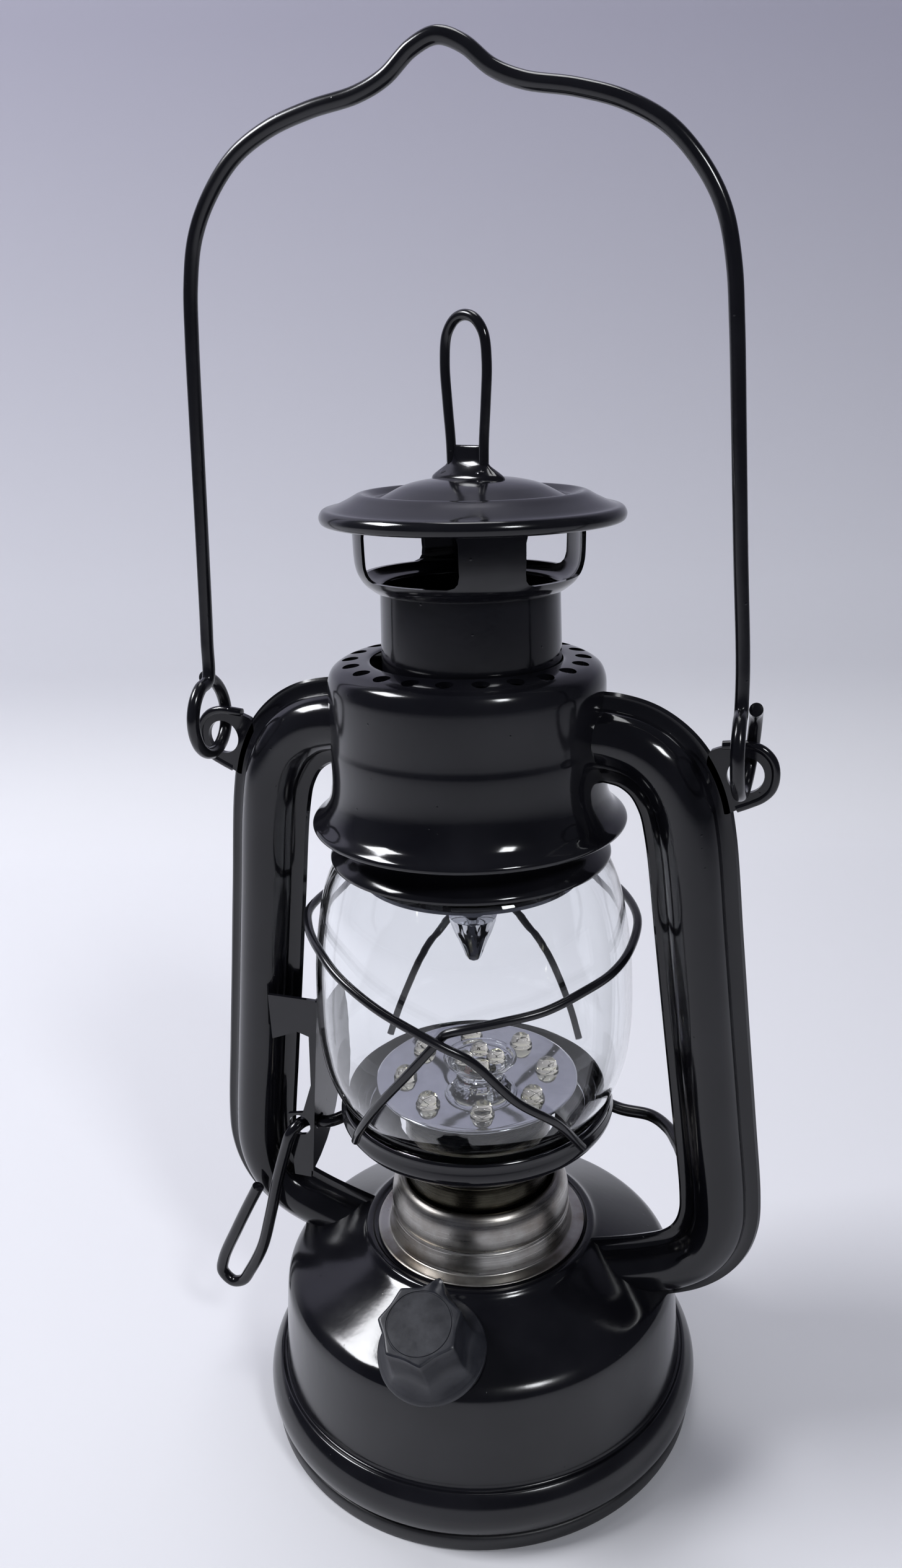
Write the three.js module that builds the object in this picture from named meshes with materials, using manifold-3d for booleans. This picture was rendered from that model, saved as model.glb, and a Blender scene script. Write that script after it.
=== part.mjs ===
// Barn lantern with a bail handle, a lift-up glass globe and a battery lamp in its fount.
// Millimetres, +Z up. The origin is the centre of the base, on the surface that it stands on.
// The two side tubes lie in the XZ plane, and the dimmer knob faces -Y.
import * as THREE from 'three';
import { mergeVertices } from 'three/addons/utils/BufferGeometryUtils.js';
import Module from 'manifold-3d';

// ---------------------------------------------------------------- driving dimensions
const GAP = 0.3; // between pieces that touch on the real lantern
const SHEET = 0.8; // pressed steel sheet
const TAU = Math.PI * 2;

const BASE_RADIUS = 57; // plastic base ring, on the floor
const SHOULDER_RADIUS = 51.2; // top edge of the fount's wall
const SHOULDER_Z = 40.4;
const DOME_SLOPE = 0.51; // fall of the fount's dome for each mm of radius
const DOME_START_RADIUS = 31;
const DOME_START_Z = 53.3;

const COLLAR_FLANGE_RADIUS = 27.1;
const COLLAR_BASE_Z = 54.7;
const NECK_RADIUS = 18.4;
const LED_DISC_RADIUS = 25;
const LED_DISC_Z = 97.4;

const HOLDER_RADIUS = 34;
const HOLDER_HOLE_RADIUS = 19.7;
const HOLDER_FLOOR_Z = 86.4;
const GLOBE_RADIUS = 37.7;
const GLOBE_WALL = 1.6;
const GLOBE_BOTTOM_Z = 89;
const GLOBE_TOP_Z = 159.2;

const CHAMBER_RADIUS = 29.1;
const CHAMBER_TOP_Z = 201.2;
const SKIRT_RADIUS = 34.9;
const SKIRT_Z = 166.2;
const VENT_COUNT = 22;
const VENT_RADIUS = 1.8;
const VENT_RING_RADIUS = 24.6;

const HOOD_SHIFT = 1.2; // the chimney sits a little to one side in its loose guide
const HOOD_OFFSET = 0.9; // and the hood a little further
const CHIMNEY_RADIUS = 19;
const CHIMNEY_FOOT_Z = 168.3;
const BASKET_RADIUS = 23.5;
const HOOD_RADIUS = 30.8;
const HOOD_Z = 229.7;
const TOP_PLATE_RADIUS = 31.6;
const TOP_PLATE_Z = 157.7;

const TUBE_FLANGE = 9.9; // half the width across a side tube's seam flanges
const TUBE_HALF_WIDTH = 6.6;
const TUBE_HALF_DEPTH = 7;
const TUBE_WALL = 0.9;

const EAR_X = 59.6;
const EAR_Z = 179.9;
const EAR_RADIUS = 6.5;
const EAR_HOLE = 3.8;

const BAIL_WIRE = 1.4; // radius
const EYE_RADIUS = 8.4; // centre line of the eye at each end of the bail
const BAIL_PIVOT_Y = -5.5;
const BAIL_PIVOT_Z = 186.2;

const CRANK_WIRE = 1.6; // radius
const CRANK_LEFT = new THREE.Vector3(-42.6, -5, 80); // crank axis in the bracket
const CRANK_RIGHT = new THREE.Vector3(55, 3.2, 79.6); // crank axis in the right tube
const CRANK_HOLE = 2.1;

const KNOB_RADIUS = 9.8; // across the flutes' crests, halved
const KNOB_SKIRT_RADIUS = 13;
const KNOB_AXIS_RADIUS = 42; // from the lantern's axis to the knob's, on the dome
const KNOB_TURN = THREE.MathUtils.degToRad(2); // the knob sits a little to the right of the front
const KNOB_HEIGHT = 17.5;
const SHAFT_RADIUS = 3;

const CELL_RADIUS = 16.6; // size D
const CELL_LENGTH = 58;
const CELL_NUB = 2.4;
const CELL_PITCH = 34.2;
const CELL_Z = 21.6;

// ---------------------------------------------------------------- solids
const wasm = await Module();
wasm.setup();

function finish(geometry) {
  const bare = geometry.clone();
  bare.deleteAttribute('normal');
  bare.deleteAttribute('uv');
  const merged = mergeVertices(bare, 1e-4);
  const old = merged.index.array;
  const kept = [];
  for (let i = 0; i < old.length; i += 3) {
    const [a, b, c] = [old[i], old[i + 1], old[i + 2]];
    if (a !== b && b !== c && c !== a) kept.push(a, b, c);
  }
  if (signedVolume(merged.attributes.position, kept) < 0) kept.reverse();
  merged.setIndex(kept);
  return merged;
}

function signedVolume(position, index) {
  const [a, b, c] = [new THREE.Vector3(), new THREE.Vector3(), new THREE.Vector3()];
  let sum = 0;
  for (let i = 0; i < index.length; i += 3) {
    a.fromBufferAttribute(position, index[i]);
    b.fromBufferAttribute(position, index[i + 1]);
    c.fromBufferAttribute(position, index[i + 2]);
    sum += a.dot(b.cross(c));
  }
  return sum / 6;
}

function solid(geometry) {
  const closed = finish(geometry);
  const vertProperties = new Float32Array(closed.attributes.position.array);
  const triVerts = new Uint32Array(closed.index.array);
  return new wasm.Manifold(new wasm.Mesh({ numProp: 3, vertProperties, triVerts }));
}

function geometryOf(manifold) {
  const mesh = manifold.getMesh();
  const geometry = new THREE.BufferGeometry();
  const xyz = [];
  for (let i = 0; i < mesh.vertProperties.length; i += mesh.numProp) {
    xyz.push(mesh.vertProperties[i], mesh.vertProperties[i + 1], mesh.vertProperties[i + 2]);
  }
  geometry.setAttribute('position', new THREE.Float32BufferAttribute(xyz, 3));
  geometry.setIndex(Array.from(mesh.triVerts));
  return geometry;
}

// A turned piece: [radius, height] points, closed on themselves or starting and ending on the axis.
function turned(profile, segments = 24, closeLoop = true) {
  const points = profile.map(([r, z]) => new THREE.Vector2(r, z));
  if (closeLoop) points.push(points[0].clone());
  return finish(new THREE.LatheGeometry(points, segments).rotateX(Math.PI / 2));
}

// A round wire along a curve through the given points.
function wire(points, radius, { sides = 6, steps = 40 } = {}) {
  const curve = new THREE.CatmullRomCurve3(points, false, 'centripetal');
  const section = new THREE.Shape(ringPoints(radius, sides));
  return finish(new THREE.ExtrudeGeometry(section, { steps, extrudePath: curve, bevelEnabled: false }));
}

function ringPoints(radius, sides) {
  return Array.from({ length: sides }, (_, i) => {
    const a = (i / sides) * TAU;
    return new THREE.Vector2(radius * Math.cos(a), radius * Math.sin(a));
  });
}

function cylinder(radius, length, sides = 16) {
  return new THREE.CylinderGeometry(radius, radius, length, sides).rotateX(Math.PI / 2);
}

function box(x0, x1, y0, y1, z0, z1) {
  const geometry = new THREE.BoxGeometry(x1 - x0, y1 - y0, z1 - z0);
  return geometry.translate((x0 + x1) / 2, (y0 + y1) / 2, (z0 + z1) / 2);
}

const v = (x, y, z) => new THREE.Vector3(x, y, z);
const mirrorX = ([x, z]) => [-x, z];

// ---------------------------------------------------------------- materials
function material(color, roughness, metalness, opacity = 1) {
  return new THREE.MeshStandardMaterial({ color, roughness, metalness, opacity, transparent: opacity < 1 });
}

const enamel = material(0x101014, 0.18, 0.3);
const wireEnamel = material(0x0c0c10, 0.25, 0.3);
const tinPlate = material(0x9a968c, 0.35, 1);
const darkTin = material(0x3a3836, 0.45, 1);
const mirrorTin = material(0xd0d2d4, 0.18, 1);
const glass = material(0xe8eef2, 0.02, 0, 0.3);
const clearPlastic = material(0xdfe3e6, 0.1, 0, 0.4);
const ledEpoxy = material(0xe9dfae, 0.15, 0, 0.8);
const basePlastic = material(0x17181c, 0.45, 0);
const knobPlastic = material(0x2b2f36, 0.5, 0);
const springSteel = material(0xb9b9b4, 0.3, 1);
const cellJacket = material(0x23324a, 0.4, 0.1);
const boardGreen = material(0x1f5a38, 0.5, 0);
const redLead = material(0xa02018, 0.5, 0);
const blackLead = material(0x151515, 0.5, 0);

const lantern = new THREE.Group();

function add(name, geometry, look, parent = lantern) {
  const mesh = new THREE.Mesh(geometry, look);
  mesh.name = name;
  parent.add(mesh);
  return mesh;
}

// ---------------------------------------------------------------- fount, the pressed tank
const domeZ = (r) => DOME_START_Z - (r - DOME_START_RADIUS) * DOME_SLOPE;
const domeTilt = Math.atan(DOME_SLOPE);

const FOUNT_OUTSIDE = [
  [22.5, 53.9],
  [27.6, 54.0],
  [28.3, 54.8],
  [29.5, 54.7],
  [DOME_START_RADIUS, DOME_START_Z],
  [47.4, domeZ(47.4)],
  [49.9, 43.1],
  [SHOULDER_RADIUS, SHOULDER_Z],
  [53.2, 17.4],
  [53.9, 16.6],
  [54.8, 17.2],
  [56.9, 14.6],
  [58, 10],
  [56.6, 5.1],
];
const FOUNT_INSIDE = [
  [55.4, 5.1],
  [56.9, 10],
  [55.8, 14],
  [52.3, 15.8],
  [50.3, 39.8],
  [46.8, domeZ(46.8) - SHEET],
  [DOME_START_RADIUS, DOME_START_Z - SHEET],
  [28.6, 53.2],
  [22.5, 53.1],
];

// The knob's frame: its origin is on the dome and its +Z stands square to the dome.
const knobFrame = new THREE.Matrix4()
  .makeRotationZ(KNOB_TURN)
  .multiply(new THREE.Matrix4().makeTranslation(0, -KNOB_AXIS_RADIUS, domeZ(KNOB_AXIS_RADIUS)))
  .multiply(new THREE.Matrix4().makeRotationX(domeTilt));

const shaftHole = cylinder(SHAFT_RADIUS + 0.9, 12).applyMatrix4(knobFrame);
const fountShell = solid(turned([...FOUNT_OUTSIDE, ...FOUNT_INSIDE])).subtract(solid(shaftHole));
add('fount_shell', geometryOf(fountShell), enamel);

// ---------------------------------------------------------------- plastic base and battery cover
const DOOR_RADIUS = 40;
const SCREW_RING = 49;
const SCREW_COUNT = 3;
const basePlate = solid(
  turned([
    [DOOR_RADIUS + 2.2, 2],
    [51.5, 2],
    [52.5, 0],
    [56.3, 0],
    [BASE_RADIUS, 0.7],
    [BASE_RADIUS, 4.6],
    [54.7, 4.6],
    [54.7, 9],
    [53.4, 9],
    [53.4, 4],
    [DOOR_RADIUS + 2.2, 4],
  ]),
);
const screwAngles = Array.from({ length: SCREW_COUNT }, (_, i) => ((i + 0.25) / SCREW_COUNT) * TAU);
const screwPlaces = screwAngles.map((a) => [SCREW_RING * Math.cos(a), SCREW_RING * Math.sin(a)]);
// Two notches let the cover's lugs in, a little before the place where they lock.
const COVER_TURN = THREE.MathUtils.degToRad(25);
let drilledBase = basePlate;
for (const turn of [COVER_TURN, COVER_TURN + Math.PI]) {
  drilledBase = drilledBase.subtract(solid(box(40, 45.2, -4.6, 4.6, 0, 8).rotateZ(turn)));
}
for (const [x, y] of screwPlaces) {
  drilledBase = drilledBase.subtract(solid(cylinder(1.5, 10, 12).translate(x, y, 3)));
}
add('base_ring', geometryOf(drilledBase), basePlastic);

screwPlaces.forEach(([x, y], i) => {
  const screw = turned(
    [
      [0, 0.6],
      [2.6, 0.6],
      [2.6, 1.6],
      [1.2, 1.7],
      [1.2, 9],
      [0, 10],
    ],
    12,
    false,
  );
  add(`base_screw_${i + 1}`, screw.translate(x, y, 0), springSteel);
});

// The cover turns to unlock: two lugs hook over the base ring's inner edge.
const coverDisc = solid(
  turned(
    [
      [0, 1],
      [38.6, 1],
      [DOOR_RADIUS + 1.6, 1],
      [DOOR_RADIUS + 1.6, 3.4],
      [38.6, 3.4],
      [0, 3.4],
    ],
    36,
    false,
  ),
);
const thumbSlot = solid(box(-9, 9, -2, 2, 0, 2));
const lugShape = (turn) => solid(box(39, 44.2, -4, 4, 4.4, 5.8).rotateZ(turn));
const lugPost = (turn) => solid(box(38.2, 41.4, -4, 4, 3, 5.8).rotateZ(turn));
let cover = coverDisc.subtract(thumbSlot);
for (const turn of [0, Math.PI]) cover = cover.add(lugShape(turn)).add(lugPost(turn));
add('battery_cover', geometryOf(cover), basePlastic);

// ---------------------------------------------------------------- cells, cradle and contacts
const CRADLE_Z = 6.4;
const cellSides = [-1, 1];
const cradleHalf = [CELL_PITCH - 0.4, 33.4];
let cradle = solid(box(-cradleHalf[0], cradleHalf[0], -cradleHalf[1], cradleHalf[1], CRADLE_Z, 20));
for (const side of cellSides) {
  const trough = new THREE.CylinderGeometry(CELL_RADIUS + GAP, CELL_RADIUS + GAP, 63.6, 18);
  cradle = cradle.subtract(solid(trough.translate((side * CELL_PITCH) / 2, 0, CELL_Z)));
}
add('battery_cradle', geometryOf(cradle), basePlastic);

function cell(direction) {
  const half = CELL_LENGTH / 2;
  const body = turned(
    [
      [0, -half],
      [CELL_RADIUS - 1, -half],
      [CELL_RADIUS, -half + 1],
      [CELL_RADIUS, half - 1],
      [CELL_RADIUS - 1, half],
      [4.8, half],
      [4.8, half + CELL_NUB],
      [0, half + CELL_NUB],
    ],
    16,
    false,
  );
  return body.rotateX((-direction * Math.PI) / 2);
}

cellSides.forEach((side, i) => {
  add(`battery_cell_${i + 1}`, cell(side), cellJacket).position.set((side * CELL_PITCH) / 2, 0, CELL_Z);
});

// A link plate joins the two cells at one end, and a plate for each takes the current at the other.
const CONTACT_Y = 32.2;
const CONTACT_THICKNESS = 0.6;
add('contact_link', box(-24, 24, -CONTACT_Y - CONTACT_THICKNESS, -CONTACT_Y, 21, 32), springSteel);
cellSides.forEach((side, i) => {
  const x = (side * CELL_PITCH) / 2;
  const plate = box(x - 6, x + 6, CONTACT_Y, CONTACT_Y + CONTACT_THICKNESS, 21, 34);
  add(`contact_plate_${i + 1}`, plate, springSteel);
});

// ---------------------------------------------------------------- dimmer
const dimmer = new THREE.Group();
knobFrame.decompose(dimmer.position, dimmer.quaternion, dimmer.scale);
lantern.add(dimmer);

const POT_TOP = -SHEET - GAP - 1;
const potBody = solid(
  turned([
    [SHAFT_RADIUS + GAP, POT_TOP],
    [7.6, POT_TOP],
    [7.6, POT_TOP - 5.4],
    [SHAFT_RADIUS + GAP, POT_TOP - 5.4],
  ], 20),
);
const potTerminals = solid(box(-5, 5, -8.6, -6.8, POT_TOP - 4.6, POT_TOP - 3.4));
add('dimmer_pot', geometryOf(potBody.add(potTerminals)), darkTin, dimmer);
add('dimmer_shaft', cylinder(SHAFT_RADIUS, 14, 14).translate(0, 0, 1.4), springSteel, dimmer);

// Fluted knob with a flared skirt. The pointer is one longer flute.
const FLUTES = 7;
const FLUTE_DEPTH = 1.2;
const POINTER = THREE.MathUtils.degToRad(80);
const POINTER_REACH = 2.2;
const knobOutline = Array.from({ length: 48 }, (_, i) => {
  const a = (i / 48) * TAU;
  const pointer = Math.max(0, 1 - Math.abs(a - POINTER) / 0.3) * POINTER_REACH;
  const r = KNOB_RADIUS - FLUTE_DEPTH * (1 - Math.cos(FLUTES * (a - POINTER))) * 0.5 + pointer;
  return new THREE.Vector2(r * Math.cos(a), r * Math.sin(a));
});
const knobGrip = new THREE.ExtrudeGeometry(new THREE.Shape(knobOutline), {
  depth: KNOB_HEIGHT - 2,
  bevelEnabled: false,
}).translate(0, 0, 2);
const knobSkirt = turned(
  [
    [0, 0.5],
    [KNOB_SKIRT_RADIUS, 0.5],
    [KNOB_SKIRT_RADIUS, 1.6],
    [11.2, 2.6],
    [9.4, 5.2],
    [0, 5.2],
  ],
  32,
  false,
);
const knobBore = cylinder(SHAFT_RADIUS + GAP, 10, 14).translate(0, 0, 4);
const knob = solid(knobGrip).add(solid(knobSkirt)).subtract(solid(knobBore));
add('dimmer_knob', geometryOf(knob), knobPlastic, dimmer);

// ---------------------------------------------------------------- collar, neck and lamp
const collarProfile = [
  [COLLAR_FLANGE_RADIUS, 55.1],
  [COLLAR_FLANGE_RADIUS, 55.8],
  [23.6, 56],
  [23.3, 57.5],
  [22.9, 60.6],
  [22.6, 60.9],
  [22.8, 64.5],
  [22.3, 67.5],
  [21.2, 69.6],
  [19.8, 70.6],
  [18.9, 70.2],
  [20.6, 68.6],
  [21.8, 64.8],
  [21.8, 60.9],
  [22.3, 57.4],
  [22.8, 55.1],
];
add('burner_collar', turned(collarProfile), tinPlate);

const NECK_TOP = LED_DISC_Z - GAP;
const neckProfile = [
  [NECK_RADIUS - SHEET, 54.3],
  [23.7, 54.3],
  [23.7, 55],
  [NECK_RADIUS, 55],
  [NECK_RADIUS, 76.4],
  [NECK_RADIUS + 0.8, 77.2],
  [NECK_RADIUS, 78],
  [NECK_RADIUS, NECK_TOP],
  [NECK_RADIUS - SHEET, NECK_TOP],
];
add('lamp_neck', turned(neckProfile, 24), darkTin);

const discProfile = [
  [5, LED_DISC_Z],
  [LED_DISC_RADIUS - 0.6, LED_DISC_Z],
  [LED_DISC_RADIUS, LED_DISC_Z + 0.4],
  [LED_DISC_RADIUS, LED_DISC_Z + 1],
  [5, LED_DISC_Z + 1],
];
add('led_disc', turned(discProfile), mirrorTin);

// Twelve 5 mm lamps: eight on the disc and four on the raised centre cup.
const LED_SEAT = LED_DISC_Z + 1 + GAP;
const LED_RING = 17.6;
const LED_RING_TURN = -23;
const ledDome = () =>
  turned(
    [
      [0, 0],
      [2.9, 0],
      [2.6, 0.6],
      [2.5, 1.2],
      [1.7, 2.7],
      [0, 3.2],
    ],
    8,
    false,
  );
for (let i = 0; i < 8; i += 1) {
  const a = THREE.MathUtils.degToRad(LED_RING_TURN + i * 45);
  const place = v(LED_RING * Math.cos(a), LED_RING * Math.sin(a), LED_SEAT);
  add(`led_outer_${i + 1}`, ledDome(), ledEpoxy).position.copy(place);
}

const CUP_TOP = 103.6;
const CUP_RADIUS = 9.3;
const CUP_SHIFT = 1; // the cup is glued on a little to the right
const cupProfile = [
  [2.4, LED_SEAT],
  [5.6, LED_SEAT],
  [6, LED_SEAT + 1],
  [CUP_RADIUS, CUP_TOP],
  [CUP_RADIUS - 1, CUP_TOP],
  [CUP_RADIUS - 1.2, CUP_TOP - 1.2],
  [2.4, CUP_TOP - 1.2],
];
add('centre_cup', turned(cupProfile, 16), clearPlastic).position.x = CUP_SHIFT;
for (let i = 0; i < 4; i += 1) {
  const a = THREE.MathUtils.degToRad(20 + i * 90);
  const place = v(CUP_SHIFT + 3.9 * Math.cos(a), 3.9 * Math.sin(a), CUP_TOP - 1.2 + GAP);
  const small = ledDome().scale(0.84, 0.84, 0.84);
  add(`led_inner_${i + 1}`, small, ledEpoxy).position.copy(place);
}

// Driver board under the dome, and its two leads up the neck to the lamps.
const BOARD_Z = 40.6;
add('driver_board', box(-15, 15, -11, 11, BOARD_Z, BOARD_Z + 1.6), boardGreen);
[['lamp_lead_red', -3, redLead], ['lamp_lead_black', 3, blackLead]].forEach(([name, x, look]) => {
  const route = [
    v(x, 0, BOARD_Z + 1.6 + GAP),
    v(x, 0, 50),
    v(x * 1.2, 2, 62),
    v(x * 1.2, 2, 78),
    v(x, 0, 90),
    v(x * 0.8, 0, LED_DISC_Z + GAP),
  ];
  add(name, wire(route, 0.7, { sides: 5, steps: 12 }), look);
});

// ---------------------------------------------------------------- side tubes with the bail's ears
const TUBE_CENTRE = [
  [22, 186],
  [31, 185.6],
  [37.5, 184],
  [43, 180],
  [46.8, 173.8],
  [48.9, 166],
  [52.2, 142],
  [55.4, 118],
  [58.4, 96],
  [61.2, 74.5],
  [61.4, 67.5],
  [60.1, 61.5],
  [57.3, 56.6],
  [52.8, 52.6],
  [46, 49.4],
  [38, 46.6],
  [30, 44.4],
];

function tubeSection() {
  const flangeHalf = 0.7;
  const half = [];
  const arcSteps = 4;
  const start = Math.asin(flangeHalf / TUBE_HALF_DEPTH);
  half.push([flangeHalf, TUBE_FLANGE]);
  for (let i = 0; i <= arcSteps; i += 1) {
    const a = start + ((Math.PI - 2 * start) * i) / arcSteps;
    half.push([TUBE_HALF_DEPTH * Math.sin(a), TUBE_HALF_WIDTH * Math.cos(a)]);
  }
  half.push([flangeHalf, -TUBE_FLANGE]);
  const other = half.map(([d, w]) => [-d, -w]);
  return [...half, ...other].map(([d, w]) => new THREE.Vector2(d, w));
}

// The outside of the fount and of the air chamber, a gap larger, to trim the tubes' ends.
const fountTrim = solid(
  turned(
    [
      [0, 20],
      [54, 20],
      [SHOULDER_RADIUS + 0.5, SHOULDER_Z + 0.2],
      [50.9, 43],
      [49.1, 44.5],
      [47.2, domeZ(47.2) + 0.4],
      [DOME_START_RADIUS + 0.2, DOME_START_Z + 0.4],
      [29.8, 55.2],
      [COLLAR_FLANGE_RADIUS + 0.6, 57],
      [0, 57],
    ],
    36,
    false,
  ),
);
const chamberTrim = solid(cylinder(CHAMBER_RADIUS + 1.15, 50, 36).translate(0, 0, 190));

function sideTube(side) {
  const path = TUBE_CENTRE.map(([x, z]) => v(side * x, 0, z));
  const curve = new THREE.CatmullRomCurve3(path, false, 'centripetal');
  const shape = new THREE.Shape(tubeSection());
  const bore = ringPoints(1, 6).map((p) =>
    new THREE.Vector2(p.x * (TUBE_HALF_DEPTH - TUBE_WALL), p.y * (TUBE_HALF_WIDTH - TUBE_WALL)),
  );
  shape.holes.push(new THREE.Path(bore));
  const extruded = new THREE.ExtrudeGeometry(shape, { steps: 20, extrudePath: curve, bevelEnabled: false });
  const ear = cylinder(EAR_RADIUS, 1.4, 18).rotateX(Math.PI / 2).translate(side * EAR_X, 0, EAR_Z);
  const rim = new THREE.TorusGeometry(EAR_RADIUS - 1, 1, 5, 18).rotateX(Math.PI / 2);
  rim.translate(side * EAR_X, 0, EAR_Z);
  const web = new THREE.Shape([
    new THREE.Vector2(side * 50.8, 184.6),
    new THREE.Vector2(side * 58.6, 185.9),
    new THREE.Vector2(side * 61.4, 173.4),
    new THREE.Vector2(side * 55.6, 170.6),
    new THREE.Vector2(side * 52, 176),
  ]);
  const webPlate = new THREE.ExtrudeGeometry(web, { depth: 1.4, bevelEnabled: false });
  webPlate.rotateX(Math.PI / 2).translate(0, 0.7, 0);
  const hole = cylinder(EAR_HOLE, 6, 16).rotateX(Math.PI / 2).translate(side * EAR_X, 0, EAR_Z);
  let tube = solid(extruded).subtract(fountTrim).subtract(chamberTrim);
  tube = tube.add(solid(ear)).add(solid(rim)).add(solid(webPlate)).subtract(solid(hole));
  return tube;
}

// The crank's far end turns in a hole in the right tube's inner wall.
const crankAxis = CRANK_RIGHT.clone().sub(CRANK_LEFT).normalize();
function alongCrank(radius, length, centre) {
  const geometry = new THREE.CylinderGeometry(radius, radius, length, 14);
  const turn = new THREE.Quaternion().setFromUnitVectors(v(0, 1, 0), crankAxis);
  return geometry.applyQuaternion(turn).translate(centre.x, centre.y, centre.z);
}

const pivotHole = solid(alongCrank(CRANK_HOLE, 10, CRANK_RIGHT.clone()));
add('side_tube_left', geometryOf(sideTube(-1)), enamel);
add('side_tube_right', geometryOf(sideTube(1).subtract(pivotHole)), enamel);

// ---------------------------------------------------------------- air chamber with its ring of vents
const chamberProfile = [
  [20.4, CHAMBER_TOP_Z],
  [26.9, 200.2],
  [28.6, 198.2],
  [CHAMBER_RADIUS, 195],
  [CHAMBER_RADIUS, 184.6],
  [CHAMBER_RADIUS + 0.7, 182.8],
  [29.9, 175.5],
  [31.6, 169.3],
  [SKIRT_RADIUS, SKIRT_Z],
  [SKIRT_RADIUS - 0.2, SKIRT_Z - 0.8],
  [31, 168.6],
  [29.1, 175.3],
  [28.3, 184.3],
  [28.3, 195],
  [27.8, 197.8],
  [26.4, 199.3],
  [20.4, CHAMBER_TOP_Z - 0.9],
];
let chamber = solid(turned(chamberProfile));
for (let i = 0; i < VENT_COUNT; i += 1) {
  const a = (i / VENT_COUNT) * TAU;
  const punch = cylinder(VENT_RADIUS, 6, 6);
  punch.translate(VENT_RING_RADIUS * Math.cos(a), VENT_RING_RADIUS * Math.sin(a), CHAMBER_TOP_Z - 1);
  chamber = chamber.subtract(solid(punch));
}
add('air_chamber', geometryOf(chamber), enamel);

// ---------------------------------------------------------------- hood group, which slides up
const hoodGroup = new THREE.Group();
hoodGroup.position.x = HOOD_SHIFT;
lantern.add(hoodGroup);

const hoodProfile = [
  [0, 236.8],
  [8, 236.4],
  [13.4, 235.4],
  [17.4, 233.4],
  [19.6, 232.9],
  [21.4, 234.1],
  [22.9, 233.8],
  [26.6, 231.4],
  [HOOD_RADIUS - 0.6, HOOD_Z + 0.9],
  [HOOD_RADIUS, HOOD_Z],
  [HOOD_RADIUS - 0.7, HOOD_Z - 0.9],
  [HOOD_RADIUS - 1.7, HOOD_Z - 0.5],
  [26.2, 230.5],
  [22.4, 232.9],
  [19.6, 231.9],
  [17, 232.4],
  [12.8, 234.6],
  [0, 236],
];
add('hood', turned(hoodProfile, 24, false), enamel, hoodGroup).position.x = HOOD_OFFSET;

// The basket carries the hood on four pillars between its windows, and narrows to the chimney.
const basketProfile = [
  [22.2, 231.8],
  [BASKET_RADIUS, 229.6],
  [BASKET_RADIUS, 221.5],
  [23, 219],
  [21.8, 217],
  [20.4, 215.9],
  [CHIMNEY_RADIUS + 0.4, 215.4],
  [CHIMNEY_RADIUS - SHEET, 215.4],
  [CHIMNEY_RADIUS - SHEET, 216.2],
  [20, 216.6],
  [21.3, 217.7],
  [22.3, 219.3],
  [BASKET_RADIUS - SHEET, 221.6],
  [BASKET_RADIUS - SHEET, 229.4],
  [21.4, 231.4],
];
const WINDOW_COUNT = 4;
const PILLAR_TURN = THREE.MathUtils.degToRad(-61);
let basket = solid(turned(basketProfile, 24));
for (let i = 0; i < WINDOW_COUNT; i += 1) {
  const opening = box(17, 28, -12, 12, 218.2, 229);
  const a = PILLAR_TURN + ((i + 0.5) / WINDOW_COUNT) * TAU;
  basket = basket.subtract(solid(opening.rotateZ(a)));
}
add('hood_basket', geometryOf(basket), enamel, hoodGroup);

const chimneyProfile = [
  [CHIMNEY_RADIUS, 215.1],
  [CHIMNEY_RADIUS - SHEET, 215.1],
  [CHIMNEY_RADIUS - SHEET, CHIMNEY_FOOT_Z + GAP],
  [CHIMNEY_RADIUS, CHIMNEY_FOOT_Z + GAP],
];
add('chimney_tube', turned(chimneyProfile, 24), enamel, hoodGroup);

const topPlateProfile = [
  [14, CHIMNEY_FOOT_Z],
  [23.6, 167.6],
  [26.6, 165],
  [28.2, 161.6],
  [30.6, 159.4],
  [TOP_PLATE_RADIUS, TOP_PLATE_Z + 0.6],
  [TOP_PLATE_RADIUS - 0.2, TOP_PLATE_Z - 0.4],
  [30.4, TOP_PLATE_Z + 0.3],
  [27.4, 161],
  [25.8, 164.4],
  [23.2, 166.7],
  [14, CHIMNEY_FOOT_Z - 0.9],
];
add('globe_top_plate', turned(topPlateProfile), enamel);

// A pale disc closes the chimney's foot, and a faceted cone hangs from it.
const discHangProfile = [
  [0, 150.2],
  [25.6, 152.4],
  [25, 153.4],
  [0, 151.2],
];
add('reflector_disc', turned(discHangProfile, 24, false), mirrorTin);
const coneProfile = [
  [0, 129.7],
  [1.7, 130.6],
  [6.4, 140.2],
  [6.4, 141.2],
  [2, 141.6],
  [2, 150.2 - GAP],
  [0, 150.2 - GAP],
];
add('reflector_cone', turned(coneProfile, 12, false), mirrorTin);

// Three straps carry the disc from the top plate's crown.
for (let i = 0; i < 3; i += 1) {
  const strap = box(15, 19, -2, 2, 153.4, CHIMNEY_FOOT_Z - 1.6);
  add(`disc_strap_${i + 1}`, strap.rotateZ((i / 3) * TAU + 0.4), springSteel);
}

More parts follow.
